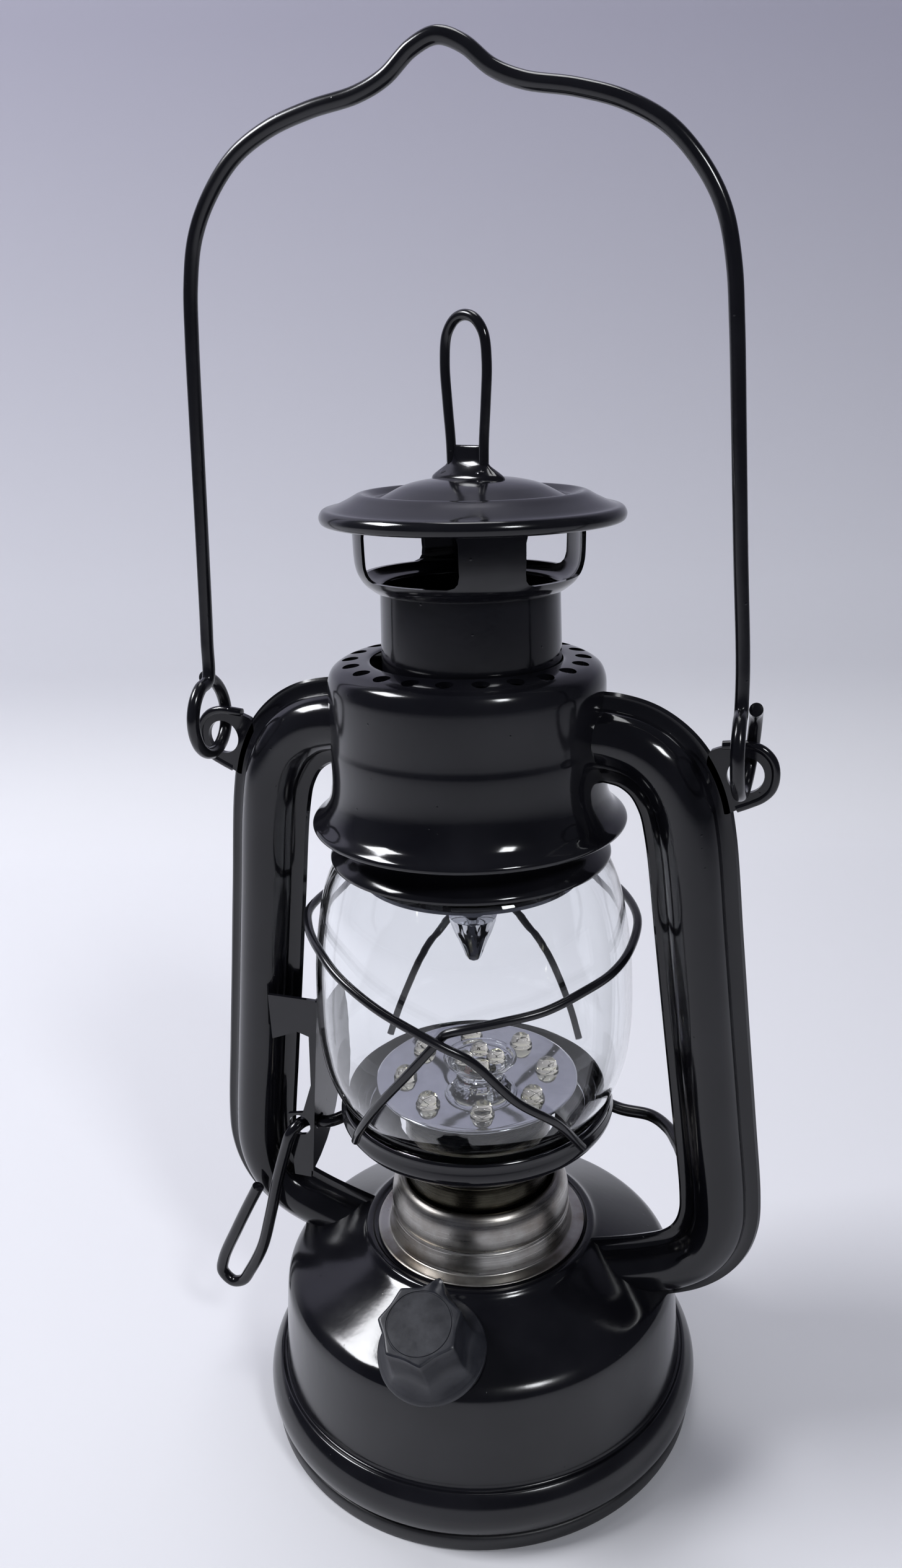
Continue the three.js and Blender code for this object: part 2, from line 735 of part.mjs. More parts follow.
// The spring between the chamber's crown and the top plate holds the globe down.
const springTurns = 3;
const SPRING_RADIUS = 21.8;
const SPRING_BOTTOM = 169.4;
const SPRING_TOP = 198.4;
const springRoute = Array.from({ length: springTurns * 10 + 1 }, (_, i) => {
  const a = (i / 10) * TAU;
  const z = THREE.MathUtils.lerp(SPRING_BOTTOM, SPRING_TOP, i / (springTurns * 10));
  return v(SPRING_RADIUS * Math.cos(a), SPRING_RADIUS * Math.sin(a), z);
});
add('chimney_spring', wire(springRoute, 0.6, { sides: 4, steps: 36 }), springSteel);

// Finger loop on top of the hood, turned a little from the tubes' plane, with a strap between its feet.
const LOOP_WIRE = 1;
const LOOP_TURN = THREE.MathUtils.degToRad(-23);
const loopHalf = [
  [4.2, 237.1],
  [4.3, 243],
  [4.9, 250],
  [5.3, 257],
  [4.6, 261.8],
  [2.5, 264.3],
];
const loopRoute = [...loopHalf.map(mirrorX), [0, 265], ...loopHalf.slice().reverse()];
const fingerLoop = wire(loopRoute.map(([x, z]) => v(x, 0, z)), LOOP_WIRE, { steps: 22 });
add('finger_loop', fingerLoop.rotateZ(LOOP_TURN), wireEnamel, hoodGroup);
const strapPlate = box(-2.8, 2.8, -0.6, 0.6, 237.1, 242.8).rotateZ(LOOP_TURN);
add('loop_strap', strapPlate, enamel, hoodGroup);

// ---------------------------------------------------------------- globe, holder and guard wires
const globeOutside = [
  [30, GLOBE_BOTTOM_Z],
  [32.6, 96.2],
  [35.2, 101.5],
  [37, 108],
  [GLOBE_RADIUS, 118.4],
  [36.9, 134],
  [34.5, 148],
  [31.5, 155.5],
  [28.7, GLOBE_TOP_Z],
];
const globeInside = globeOutside.map(([r, z]) => [r - GLOBE_WALL, z]).reverse();
add('globe', turned([...globeOutside, ...globeInside]), glass);

const holderProfile = [
  [HOLDER_HOLE_RADIUS, HOLDER_FLOOR_Z],
  [29.6, HOLDER_FLOOR_Z + 0.2],
  [32.4, 88.1],
  [HOLDER_RADIUS, 90.8],
  [33.2, 93.2],
  [33.4, 94.5],
  [32.7, 95.1],
  [31.5, 90.6],
  [29.8, 88],
  [27, 87.4],
  [HOLDER_HOLE_RADIUS, HOLDER_FLOOR_Z + SHEET],
];
add('globe_holder', turned(holderProfile), enamel);

// Each guard wire rises from two points on the holder's rim and arches over the other side.
// The two cross a quarter turn from their crowns, where the second one passes outside the first.
const GUARD_WIRE = 1;
const GUARD_TURN = 13;
const GUARD_CROSSING = [38.9, 41.2];
function guard(direction, crossing) {
  const half = [
    [138.5, 35.4, 92],
    [129, 37.6, 101.5],
    [114, (crossing + 40) / 2, 116],
    [90, crossing, 131.6],
    [66, (crossing + 38.6) / 2, 140],
    [38, 38.4, 145.4],
  ];
  const all = [...half.map(([a, r, z]) => [-a, r, z]), [0, 38, 147], ...half.slice().reverse()];
  const route = all.map(([a, r, z]) => {
    const turn = THREE.MathUtils.degToRad(a + direction);
    return v(r * Math.cos(turn), r * Math.sin(turn), z);
  });
  return wire(route, GUARD_WIRE, { steps: 30 });
}
const guardA = guard(GUARD_TURN, GUARD_CROSSING[0]);
const guardB = guard(GUARD_TURN + 180, GUARD_CROSSING[1]);
add('guard_wire_a', guardA, wireEnamel);
add('guard_wire_b', guardB, wireEnamel);

// ---------------------------------------------------------------- lift crank and its bracket
const crankRoute = [
  v(-58.9, -10.4, 59.2),
  v(-62.7, -10.4, 52),
  v(-66.9, -10.4, 43.7),
  v(-72.6, -10.4, 31.6),
  v(-73.4, -10.4, 27),
  v(-70.6, -10.4, 24.2),
  v(-67.4, -10.4, 25.2),
  v(-64.7, -10.4, 29.2),
  v(-59.8, -10.4, 38.8),
  v(-56.2, -10.4, 50.3),
  v(-52.6, -10.4, 63.3),
  v(-49.2, -10.4, 73.9),
  v(-47.6, -10.3, 78.2),
  v(-46.2, -8.6, 80),
  v(-44.8, -5.8, 80.1),
  ...[0, 3.2].map((d) => CRANK_LEFT.clone().addScaledVector(crankAxis, d)),
  v(-36.2, -1.5, 80.2),
  v(-32, 7, 81),
  v(-25, 17, 83.2),
  v(-14, 22.8, 84.6),
  v(0, 24.2, 84.6),
  v(14, 23.9, 84.2),
  v(24, 23, 81.8),
  v(32, 22.2, 79.6),
  v(40.4, 21.8, 79.2),
  v(45.8, 17, 79.3),
  v(49.2, 10.8, 79.4),
  v(52, 5, 79.5),
  ...[0, 4].map((d) => CRANK_RIGHT.clone().addScaledVector(crankAxis, d)),
];
add('lift_crank', wire(crankRoute, CRANK_WIRE, { steps: 66 }), wireEnamel);

// A folded plate on the left tube: a front band with a tab, and a rounded wing square to it.
const BRACKET_Y = -8.3; // front face
const bandOutline = [
  [-51, 117.4],
  [-38.2, 117.4],
  [-42.2, 80],
  [-43.9, 64],
  [-48.6, 64],
  [-48.8, 83],
  [-44.6, 84],
  [-41.6, 92.7],
  [-40.9, 107],
  [-44, 108],
  [-51, 105],
];
const bandShape = new THREE.Shape(bandOutline.map(([x, z]) => new THREE.Vector2(x, z)));
const band = new THREE.ExtrudeGeometry(bandShape, { depth: 1, bevelEnabled: false });
band.rotateX(Math.PI / 2).translate(0, BRACKET_Y + 1, 0);
const wingShape = new THREE.Shape();
wingShape.moveTo(BRACKET_Y, 117.4);
wingShape.lineTo(3, 117.4);
wingShape.bezierCurveTo(7, 112, 9, 98, 8, 88);
wingShape.bezierCurveTo(7, 77, 2, 69, BRACKET_Y, 66);
const wing = new THREE.ExtrudeGeometry(wingShape, { depth: 1, bevelEnabled: false, curveSegments: 6 });
// The extruded outline's x runs along +Y and its y up, and the plate leans with the fold line.
const wingLean = Math.atan2(43.8 - 38.2, 117.4 - 64);
wing.applyMatrix4(new THREE.Matrix4().makeBasis(v(0, 1, 0), v(0, 0, 1), v(1, 0, 0)));
wing.translate(-0.5, 0, -64).applyMatrix4(new THREE.Matrix4().makeRotationY(wingLean)).translate(-43.9, 0, 64);
const wireHole = solid(alongCrank(CRANK_HOLE + 0.1, 5, CRANK_LEFT));
const bandHole = solid(cylinder(3, 6, 14).rotateX(Math.PI / 2).translate(-45.8, BRACKET_Y, 80));
const bracket = solid(band).add(solid(wing)).subtract(wireHole).subtract(bandHole);
add('crank_bracket', geometryOf(bracket), enamel);

// ---------------------------------------------------------------- bail
const bailHalf = [
  [57.9, 203],
  [56, 224],
  [54.2, 245],
  [52.7, 262],
  [51.6, 271],
  [49.6, 278.6],
  [46, 284.8],
  [40, 291],
  [32.5, 295],
  [24, 297.4],
  [15, 299],
  [9.6, 301.1],
  [4.6, 304.7],
];
const BAIL_TOP = [0, 306.2];
const EYE_SWEEP = 340;
const EYE_PITCH = 2.6; // the eye's turn moves sideways by almost one wire
const EYE_X = 58.3;

// The bail leans forward a little as it rises from the eyes.
const bailY = (z) => BAIL_PIVOT_Y - ((z - BAIL_PIVOT_Z) / (BAIL_TOP[1] - BAIL_PIVOT_Z)) * 2.6;

function eye(side) {
  const count = 15;
  return Array.from({ length: count }, (_, i) => {
    const t = 1 - i / (count - 1);
    const a = THREE.MathUtils.degToRad(90 + 8 + EYE_SWEEP * t);
    const y = BAIL_PIVOT_Y + EYE_RADIUS * Math.cos(a);
    const z = BAIL_PIVOT_Z + EYE_RADIUS * Math.sin(a);
    return v(side * (EYE_X + EYE_PITCH * t), y, z);
  });
}
const bailRoute = [
  ...eye(-1),
  ...bailHalf.map(([x, z]) => v(-x, bailY(z), z)),
  v(BAIL_TOP[0], bailY(BAIL_TOP[1]), BAIL_TOP[1]),
  ...bailHalf.slice().reverse().map(([x, z]) => v(x, bailY(z), z)),
  ...eye(1).reverse(),
];
add('bail_handle', wire(bailRoute, BAIL_WIRE, { steps: 84 }), wireEnamel);

export default lantern;
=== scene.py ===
"""Barn lantern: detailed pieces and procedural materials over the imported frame.

Lengths in the tables below are millimetres, in the row frame, and MM turns them into metres.
"""
import math

import bmesh
import bpy
from mathutils import Matrix, Vector


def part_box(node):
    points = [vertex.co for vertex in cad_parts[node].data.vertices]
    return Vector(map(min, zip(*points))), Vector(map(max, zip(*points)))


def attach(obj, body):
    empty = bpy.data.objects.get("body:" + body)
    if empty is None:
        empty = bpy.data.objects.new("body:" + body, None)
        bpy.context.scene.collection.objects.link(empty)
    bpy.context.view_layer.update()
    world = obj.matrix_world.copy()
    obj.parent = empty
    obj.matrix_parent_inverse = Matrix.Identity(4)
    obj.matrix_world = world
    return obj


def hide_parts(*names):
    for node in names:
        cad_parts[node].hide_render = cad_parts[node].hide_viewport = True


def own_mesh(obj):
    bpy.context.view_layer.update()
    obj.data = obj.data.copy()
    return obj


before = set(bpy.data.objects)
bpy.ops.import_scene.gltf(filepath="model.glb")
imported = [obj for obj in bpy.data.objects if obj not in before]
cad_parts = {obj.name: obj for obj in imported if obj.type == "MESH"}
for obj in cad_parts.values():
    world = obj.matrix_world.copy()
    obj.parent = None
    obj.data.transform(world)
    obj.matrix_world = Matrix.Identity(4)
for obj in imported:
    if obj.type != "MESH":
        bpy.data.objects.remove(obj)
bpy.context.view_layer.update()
MM = 0.001
TAU = math.tau


# ---------------------------------------------------------------- camera
def make_camera():
    turn = math.radians(18.5133)
    pitch, yaw, roll = (math.radians(a) for a in (24.97, 1.04, -0.95))
    forward = Vector((math.sin(yaw) * math.cos(pitch), math.cos(yaw) * math.cos(pitch), -math.sin(pitch)))
    right = Vector((math.cos(yaw), -math.sin(yaw), 0))
    up = right.cross(forward)
    rolled_right = right * math.cos(roll) + up * math.sin(roll)
    rolled_up = up * math.cos(roll) - right * math.sin(roll)
    spin = Matrix.Rotation(turn, 4, "Z")
    axes = Matrix.Identity(4)
    for column, axis in enumerate((rolled_right, rolled_up, -forward)):
        for row in range(3):
            axes[row][column] = axis[row]
    data = bpy.data.cameras.new("camera")
    data.lens = 26.98
    data.sensor_width = 36
    data.shift_x = -0.02647
    data.shift_y = 0.09186
    data.clip_start = 0.01
    camera = bpy.data.objects.new("camera", data)
    bpy.context.scene.collection.objects.link(camera)
    camera.matrix_world = spin @ Matrix.Translation(Vector((0, -248.6, 253.7)) * MM) @ axes
    bpy.context.scene.camera = camera


make_camera()


# ---------------------------------------------------------------- mesh helpers
def new_object(name, verts, faces, body, material, smooth_angle=35, replaces=(), slot=None):
    mesh = bpy.data.meshes.new(name)
    mesh.from_pydata([tuple(v) for v in verts], [], faces)
    mesh.validate()
    obj = bpy.data.objects.new(name, mesh)
    bpy.context.scene.collection.objects.link(obj)
    return dress(obj, body, material, smooth_angle, replaces)


def tidy_mesh(obj, smooth_angle):
    bm = bmesh.new()
    bm.from_mesh(obj.data)
    bmesh.ops.remove_doubles(bm, verts=bm.verts, dist=1e-7)
    bmesh.ops.recalc_face_normals(bm, faces=bm.faces)
    bm.to_mesh(obj.data)
    bm.free()
    for polygon in obj.data.polygons:
        polygon.use_smooth = True
    obj.data.set_sharp_from_angle(angle=math.radians(smooth_angle))


def dress(obj, body, material, smooth_angle, replaces):
    tidy_mesh(obj, smooth_angle)
    obj.data.materials.clear()
    obj.data.materials.append(material)
    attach(obj, body)
    if replaces:
        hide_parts(*replaces)
    return obj


def soften(points, closed, rounds=2, cut=0.22):
    """Cuts each corner of a polyline, so that pressed edges read as bends."""
    for _ in range(rounds):
        out = []
        count = len(points)
        spans = range(count) if closed else range(count - 1)
        if not closed:
            out.append(points[0])
        for i in spans:
            a, b = Vector(points[i]), Vector(points[(i + 1) % count])
            out += [tuple(a.lerp(b, cut)), tuple(a.lerp(b, 1 - cut))]
        if not closed:
            out.append(points[-1])
        points = out
    return points


def turned(profile, closed=True, segments=144, rounds=2, shift=(0, 0, 0), wobble=None):
    """A turned surface from (radius, height) points. An open profile starts and ends on the axis."""
    profile = soften(profile, closed, rounds)
    verts, faces = [], []
    count = len(profile)
    for s in range(segments):
        a = s / segments * TAU
        for r, z in profile:
            rr = r * (wobble(a, z) if wobble else 1)
            verts.append((Vector((rr * math.cos(a), rr * math.sin(a), z)) + Vector(shift)) * MM)
    spans = count if closed else count - 1
    for s in range(segments):
        n = (s + 1) % segments
        for i in range(spans):
            j = (i + 1) % count
            faces.append((s * count + i, n * count + i, n * count + j, s * count + j))
    return verts, faces


def catmull(points, per_span=10):
    """A smooth path through the points (centripetal), sampled evenly enough for a sweep."""
    pts = [Vector(p) for p in points]
    pts = [pts[0] * 2 - pts[1]] + pts + [pts[-1] * 2 - pts[-2]]
    out = []
    for i in range(1, len(pts) - 2):
        p0, p1, p2, p3 = pts[i - 1 : i + 3]
        t0 = 0
        t1 = t0 + max((p1 - p0).length, 1e-6) ** 0.5
        t2 = t1 + max((p2 - p1).length, 1e-6) ** 0.5
        t3 = t2 + max((p3 - p2).length, 1e-6) ** 0.5
        for k in range(per_span):
            t = t1 + (t2 - t1) * k / per_span
            a1 = p0 * ((t1 - t) / (t1 - t0)) + p1 * ((t - t0) / (t1 - t0))
            a2 = p1 * ((t2 - t) / (t2 - t1)) + p2 * ((t - t1) / (t2 - t1))
            a3 = p2 * ((t3 - t) / (t3 - t2)) + p3 * ((t - t2) / (t3 - t2))
            b1 = a1 * ((t2 - t) / (t2 - t0)) + a2 * ((t - t0) / (t2 - t0))
            b2 = a2 * ((t3 - t) / (t3 - t1)) + a3 * ((t - t1) / (t3 - t1))
            out.append(b1 * ((t2 - t) / (t2 - t1)) + b2 * ((t - t1) / (t2 - t1)))
    out.append(pts[-2])
    return out


def sweep(points, radius, sides=20, per_span=10, swell=None):
    """A round wire along a path, with slightly domed ends. swell(t) scales the radius."""
    path = catmull(points, per_span)
    tangents = []
    for i in range(len(path)):
        ahead, behind = path[min(i + 1, len(path) - 1)], path[max(i - 1, 0)]
        tangents.append((ahead - behind).normalized())
    normal = tangents[0].orthogonal().normalized()
    verts, faces = [], []
    for i, (p, t) in enumerate(zip(path, tangents)):
        normal = (normal - t * normal.dot(t)).normalized()
        side = t.cross(normal)
        share = i / (len(path) - 1)
        r = radius * (swell(share) if swell else 1)
        for k in range(sides):
            a = k / sides * TAU
            verts.append((p + (normal * math.cos(a) + side * math.sin(a)) * r) * MM)
    rings = len(path)
    for i in range(rings - 1):
        for k in range(sides):
            m = (k + 1) % sides
            faces.append((i * sides + k, i * sides + m, (i + 1) * sides + m, (i + 1) * sides + k))
    for ring, t, sign in ((0, tangents[0], -1), (rings - 1, tangents[-1], 1)):
        tip = len(verts)
        verts.append((path[ring] + t * sign * radius * 0.25) * MM)
        for k in range(sides):
            faces.append((ring * sides + k, ring * sides + (k + 1) % sides, tip))
    return verts, faces


# ---------------------------------------------------------------- material helpers
def material(name, color, roughness, metallic=0.0, coat=0.0, **extra):
    mat = bpy.data.materials.new(name)
    mat.use_nodes = True
    nodes, links = mat.node_tree.nodes, mat.node_tree.links
    shader = nodes["Principled BSDF"]
    shader.inputs["Base Color"].default_value = (*color, 1)
    shader.inputs["Roughness"].default_value = roughness
    shader.inputs["Metallic"].default_value = metallic
    shader.inputs["Coat Weight"].default_value = coat
    for socket, value in extra.items():
        shader.inputs[socket.replace("_", " ")].default_value = value
    place = nodes.new("ShaderNodeTexCoord").outputs["Object"]
    return mat, nodes, links, shader, place


def noise(nodes, links, place, scale, detail=3, rough=0.5, stretch=None):
    if stretch:
        mapping = nodes.new("ShaderNodeMapping")
        mapping.inputs["Scale"].default_value = stretch
        links.new(place, mapping.inputs["Vector"])
        place = mapping.outputs["Vector"]
    node = nodes.new("ShaderNodeTexNoise")
    node.inputs["Scale"].default_value = scale
    node.inputs["Detail"].default_value = detail
    node.inputs["Roughness"].default_value = rough
    links.new(place, node.inputs["Vector"])
    return node.outputs["Fac"]


def specks(nodes, links, place, scale, low, high):
    """Small round spots: 1 on a spot and 0 between them."""
    cells = nodes.new("ShaderNodeTexVoronoi")
    cells.inputs["Scale"].default_value = scale
    links.new(place, cells.inputs["Vector"])
    return ramp(nodes, links, cells.outputs["Distance"], [(low, (1, 1, 1)), (high, (0, 0, 0))])


def ramp(nodes, links, source, stops):
    node = nodes.new("ShaderNodeValToRGB")
    elements = node.color_ramp.elements
    while len(elements) < len(stops):
        elements.new(0.5)
    for element, (at, color) in zip(elements, stops):
        element.position = at
        element.color = (*color, 1)
    links.new(source, node.inputs["Fac"])
    return node.outputs["Color"]


def bump(nodes, links, shader, layers):
    """Stacks bumps: each layer is (height output, strength, distance in metres)."""
    last = None
    for source, strength, distance in layers:
        node = nodes.new("ShaderNodeBump")
        node.inputs["Strength"].default_value = strength
        node.inputs["Distance"].default_value = distance
        links.new(source, node.inputs["Height"])
        if last:
            links.new(last, node.inputs["Normal"])
        last = node.outputs["Normal"]
    links.new(last, shader.inputs["Normal"])


def enamel_material(name, roughness, dust, orange_peel):
    """Sprayed black enamel: orange peel, a few dust specks under the film, and a faint dusty bloom."""
    mat, nodes, links, shader, place = material(name, (0.006, 0.006, 0.008), roughness)
    bloom = noise(nodes, links, place, 60, 4)
    color = ramp(nodes, links, bloom, [(0.35, (0.004, 0.004, 0.006)), (0.75, (0.011, 0.011, 0.014))])
    links.new(color, shader.inputs["Base Color"])
    gloss = noise(nodes, links, place, 25, 5, 0.6)
    low, high = roughness - dust / 2, roughness + dust
    rough = ramp(nodes, links, gloss, [(0.3, (low,) * 3), (0.75, (high,) * 3)])
    links.new(rough, shader.inputs["Roughness"])
    peel = noise(nodes, links, place, 420, 2)
    grit = specks(nodes, links, place, 260, 0.03, 0.075)
    bump(nodes, links, shader, [(peel, orange_peel, 0.00003), (grit, 0.35, 0.00008)])
    return mat


def metal_material(name, light, dark, roughness, grain):
    """Spun tin: fine rings of brushing, darker patches and small pits."""
    mat, nodes, links, shader, place = material(name, light, roughness, metallic=1.0)
    patches = noise(nodes, links, place, 55, 6, 0.65)
    color = ramp(nodes, links, patches, [(0.32, dark), (0.62, light)])
    links.new(color, shader.inputs["Base Color"])
    spun = noise(nodes, links, place, 60, 3, 0.6, stretch=(1, 1, 40))
    rough = ramp(nodes, links, spun, [(0.25, (roughness * 0.7,) * 3), (0.8, (roughness * 1.5,) * 3)])
    links.new(rough, shader.inputs["Roughness"])
    pits = specks(nodes, links, place, 330, 0.04, 0.09)
    bump(nodes, links, shader, [(spun, grain, 0.00004), (pits, 0.4, 0.00006)])
    return mat


def plastic_material(name, color, roughness, dust_color, grain=600):
    mat, nodes, links, shader, place = material(name, color, roughness)
    dusty = noise(nodes, links, place, 90, 6, 0.7)
    tint = ramp(nodes, links, dusty, [(0.42, color), (0.8, dust_color)])
    links.new(tint, shader.inputs["Base Color"])
    rough = ramp(nodes, links, dusty, [(0.3, (roughness * 0.8,) * 3), (0.8, (min(1, roughness * 1.4),) * 3)])
    links.new(rough, shader.inputs["Roughness"])
    texture = noise(nodes, links, place, grain, 2)
    bump(nodes, links, shader, [(texture, 0.35, 0.00004)])
    return mat


ENAMEL = enamel_material("black_enamel", 0.1, 0.08, 0.3)
WALL_ENAMEL = enamel_material("fount_enamel", 0.14, 0.12, 0.5)
WIRE = enamel_material("black_wire", 0.16, 0.12, 0.7)
COLLAR = metal_material("collar_tin", (0.42, 0.41, 0.39), (0.2, 0.17, 0.14), 0.3, 0.5)
NECK = metal_material("dark_tin", (0.085, 0.08, 0.06), (0.025, 0.02, 0.014), 0.26, 0.4)
STEEL = metal_material("spring_steel", (0.62, 0.62, 0.60), (0.45, 0.45, 0.44), 0.28, 0.3)
MIRROR = metal_material("mirror_tin", (0.66, 0.67, 0.70), (0.52, 0.52, 0.54), 0.06, 0.06)
BASE_PLASTIC = plastic_material("base_plastic", (0.012, 0.012, 0.014), 0.42, (0.03, 0.03, 0.033))
KNOB_PLASTIC = plastic_material("knob_plastic", (0.012, 0.013, 0.018), 0.34, (0.04, 0.042, 0.052))
CELL = plastic_material("cell_jacket", (0.03, 0.05, 0.1), 0.3, (0.05, 0.07, 0.12))
BOARD = plastic_material("circuit_board", (0.02, 0.12, 0.05), 0.4, (0.03, 0.16, 0.07))
RED_LEAD = plastic_material("red_lead", (0.35, 0.02, 0.015), 0.45, (0.4, 0.05, 0.04))
BLACK_LEAD = plastic_material("black_lead", (0.01, 0.01, 0.01), 0.45, (0.03, 0.03, 0.03))


def clear_material(name, color, ior, roughness, ripple, strength):
    mat, nodes, links, shader, place = material(name, color, roughness)
    shader.inputs["Transmission Weight"].default_value = 1
    shader.inputs["IOR"].default_value = ior
    wave = noise(nodes, links, place, ripple, 2)
    tint = ramp(nodes, links, wave, [(0.2, color), (0.8, tuple(min(1, c * 1.02) for c in color))])
    links.new(tint, shader.inputs["Base Color"])
    bump(nodes, links, shader, [(wave, strength, 0.0004)])
    return mat


GLASS = clear_material("clear_glass", (0.97, 0.98, 0.985), 1.46, 0.0, 28, 0.05)
CUP_PLASTIC = clear_material("clear_plastic", (0.95, 0.96, 0.97), 1.49, 0.03, 120, 0.15)
EPOXY = clear_material("led_epoxy", (0.96, 0.92, 0.72), 1.52, 0.02, 200, 0.1)


# ---------------------------------------------------------------- fount and base
DOME_START_RADIUS, DOME_START_Z, DOME_SLOPE = 31, 53.3, 0.51


def dome_z(r):
    return DOME_START_Z - (r - DOME_START_RADIUS) * DOME_SLOPE


fount_profile = [
    (22.5, 53.9), (27.6, 54.0), (28.2, 54.8), (29.6, 54.7), (30.4, 53.7), (31.4, 53.0),
    (47.2, dome_z(47.2)), (49.0, 44.0), (50.5, 42.4), (51.2, 40.4), (52.0, 32), (53.2, 17.5),
    (53.9, 16.7), (54.8, 17.2), (56.0, 15.9), (57.1, 14.2), (57.9, 11.6), (58.0, 9), (57.5, 6.6),
    (56.5, 5.1), (55.4, 5.1), (56.7, 9), (55.8, 14), (54.2, 15.6), (52.3, 15.8), (50.4, 39.8),
    (46.8, dome_z(46.8) - 0.8), (31, 52.5), (28.6, 53.2), (22.5, 53.1),
]
new_object("fount", *turned(fount_profile, segments=192), "frame", WALL_ENAMEL,
           replaces=["fount_shell"], slot="black_enamel")
base_profile = [
    (42.4, 2), (51.6, 2), (52.5, 0), (56.3, 0), (57, 0.7), (57, 4.6), (54.7, 4.6), (54.7, 9), (53.4, 9),
    (53.4, 4), (42.4, 4),
]
new_object("base_moulding", *turned(base_profile, segments=192, rounds=2, ), "frame", BASE_PLASTIC,
           replaces=["base_ring"], slot="base_plastic")

# ---------------------------------------------------------------- collar and neck
collar_profile = [
    (26.9, 54.2), (26.9, 54.9), (24.0, 55.0), (23.6, 55.6), (23.3, 57.5), (23.0, 59.5), (22.95, 60.5),
    (22.5, 60.9), (22.8, 62), (22.8, 64.5), (22.3, 67.5), (21.2, 69.6), (19.8, 70.6), (18.9, 70.2),
    (20.6, 68.6), (21.8, 66), (21.8, 61.4), (22.3, 57.5), (22.7, 54.2),
]
new_object("collar", *turned(collar_profile, segments=160, shift=(0.3, 0, 0)), "frame", COLLAR,
           replaces=["burner_collar"], slot="collar_tin")
neck_profile = [
    (17.6, 54.3), (22.3, 54.3), (22.3, 55), (18.4, 55), (18.4, 76.2), (19.2, 77.2), (18.4, 78.2),
    (18.4, 97.1), (17.6, 97.1),
]
new_object("neck", *turned(neck_profile, segments=128), "frame", NECK,
           replaces=["lamp_neck"], slot="dark_tin")

# ---------------------------------------------------------------- lamps
disc_profile = [
    (5, 97.4), (24.4, 97.4), (25, 97.8), (25, 98.3), (24.6, 98.5), (24.1, 98.4), (5, 98.4),
]
new_object("lamp_disc", *turned(disc_profile, segments=128), "frame", MIRROR,
           replaces=["led_disc"], slot="mirror_tin")


LAMP_PROFILE = [
    (0, -0.25), (2.9, -0.25), (2.9, 0.5), (2.55, 0.7), (2.5, 1.3), (2.2, 2.2), (1.4, 2.95), (0, 3.2),
]


def lamp(name, node, size):
    """A low epoxy dome that stands where its node stands."""
    low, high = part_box(node)
    centre = (low + high) / 2 / MM
    profile = [(r * size, z * size) for r, z in LAMP_PROFILE]
    seat = (centre.x, centre.y, low.z / MM)
    new_object(name, *turned(profile, closed=False, segments=32, rounds=2, shift=seat),
               "frame", EPOXY, replaces=[node], slot="led_epoxy")


for ring, count, size in (("outer", 8, 1.0), ("inner", 4, 0.84)):
    for number in range(1, count + 1):
        lamp(f"lamp_{ring}_{number}", f"led_{ring}_{number}", size)


CUP_TOP = 103.6
CUP_SHIFT = (1, 0, 0)


def facets(a, z):
    """The cup's flutes, deeper towards its foot."""
    return 1 - 0.05 * abs(math.sin(a * 8)) * max(0, min(1, (CUP_TOP - z) / 6))


cup_profile = [
    (2.4, 98.5), (5.6, 98.5), (6, 99.7), (7.6, 101.6), (9.3, 103.6), (8.3, 103.6), (7.9, 102.4),
    (2.4, 102.4),
]
new_object("centre_cup_clear", *turned(cup_profile, segments=128, shift=CUP_SHIFT, wobble=facets),
           "frame", CUP_PLASTIC,
           smooth_angle=20, replaces=["centre_cup"], slot="clear_plastic")

# ---------------------------------------------------------------- globe, holder and guards
globe_outside = [
    (30, 89), (30.5, 91.4), (32.6, 96.2), (35.2, 101.5), (37, 108), (37.7, 118.4), (36.9, 134),
    (34.5, 148), (31.5, 155.5), (28.7, 159.2),
]
GLASS_WALL, ROLLED_BOTTOM_Z = 1.5, 93  # the glass thickens below this height
globe_inside = [
    (r - GLASS_WALL - 1.6 * max(0, (ROLLED_BOTTOM_Z - z) / 4), z) for r, z in reversed(globe_outside)
]
new_object("globe_glass", *turned(globe_outside + globe_inside, segments=192, rounds=3),
           "globe_carriage", GLASS,
           smooth_angle=60, replaces=["globe"], slot="clear_glass")
holder_profile = [
    (19.7, 86.4), (29.6, 86.6), (32.4, 88.1), (34, 90.8), (33.2, 93.2), (33.4, 94.5), (32.7, 95.1),
    (31.5, 90.6), (29.8, 88), (27, 87.4), (19.7, 87.2),
]
new_object("holder", *turned(holder_profile, segments=160), "globe_carriage", ENAMEL,
           replaces=["globe_holder"], slot="black_enamel")


def around_axis(route):
    """Points of a wire from (degrees, radius, height)."""
    return [(r * math.cos(math.radians(a)), r * math.sin(math.radians(a)), z) for a, r, z in route]


# The guard wires, as (degrees, radius, height). Both go down behind the globe in the same way.
REAR_HALF = [
    (38, 38, 142), (66, 38.6, 139.4), (90, 39.4, 131.6), (114, 39.4, 116), (129, 37.6, 101.5),
    (137, 35.8, 94.6),
]
# The wire with its crown on the right is bent: almost level past the front, then straight to its foot.
BENT_HALF = [
    (-124, 35.8, 94.6), (-115.5, 38.2, 101.4), (-105.5, 39.2, 110.7), (-93.3, 39.2, 121.2),
    (-84.2, 39.2, 129.2), (-82.6, 39.2, 130.6), (-80.8, 39.3, 132.0), (-78.6, 39.4, 132.7),
    (-75.4, 39.6, 133.4), (-64.4, 39.8, 134.9), (-50.4, 39.8, 136), (-36, 39.4, 137.7),
    (-22, 38.8, 138.3), (-7, 38.2, 139.6),
]
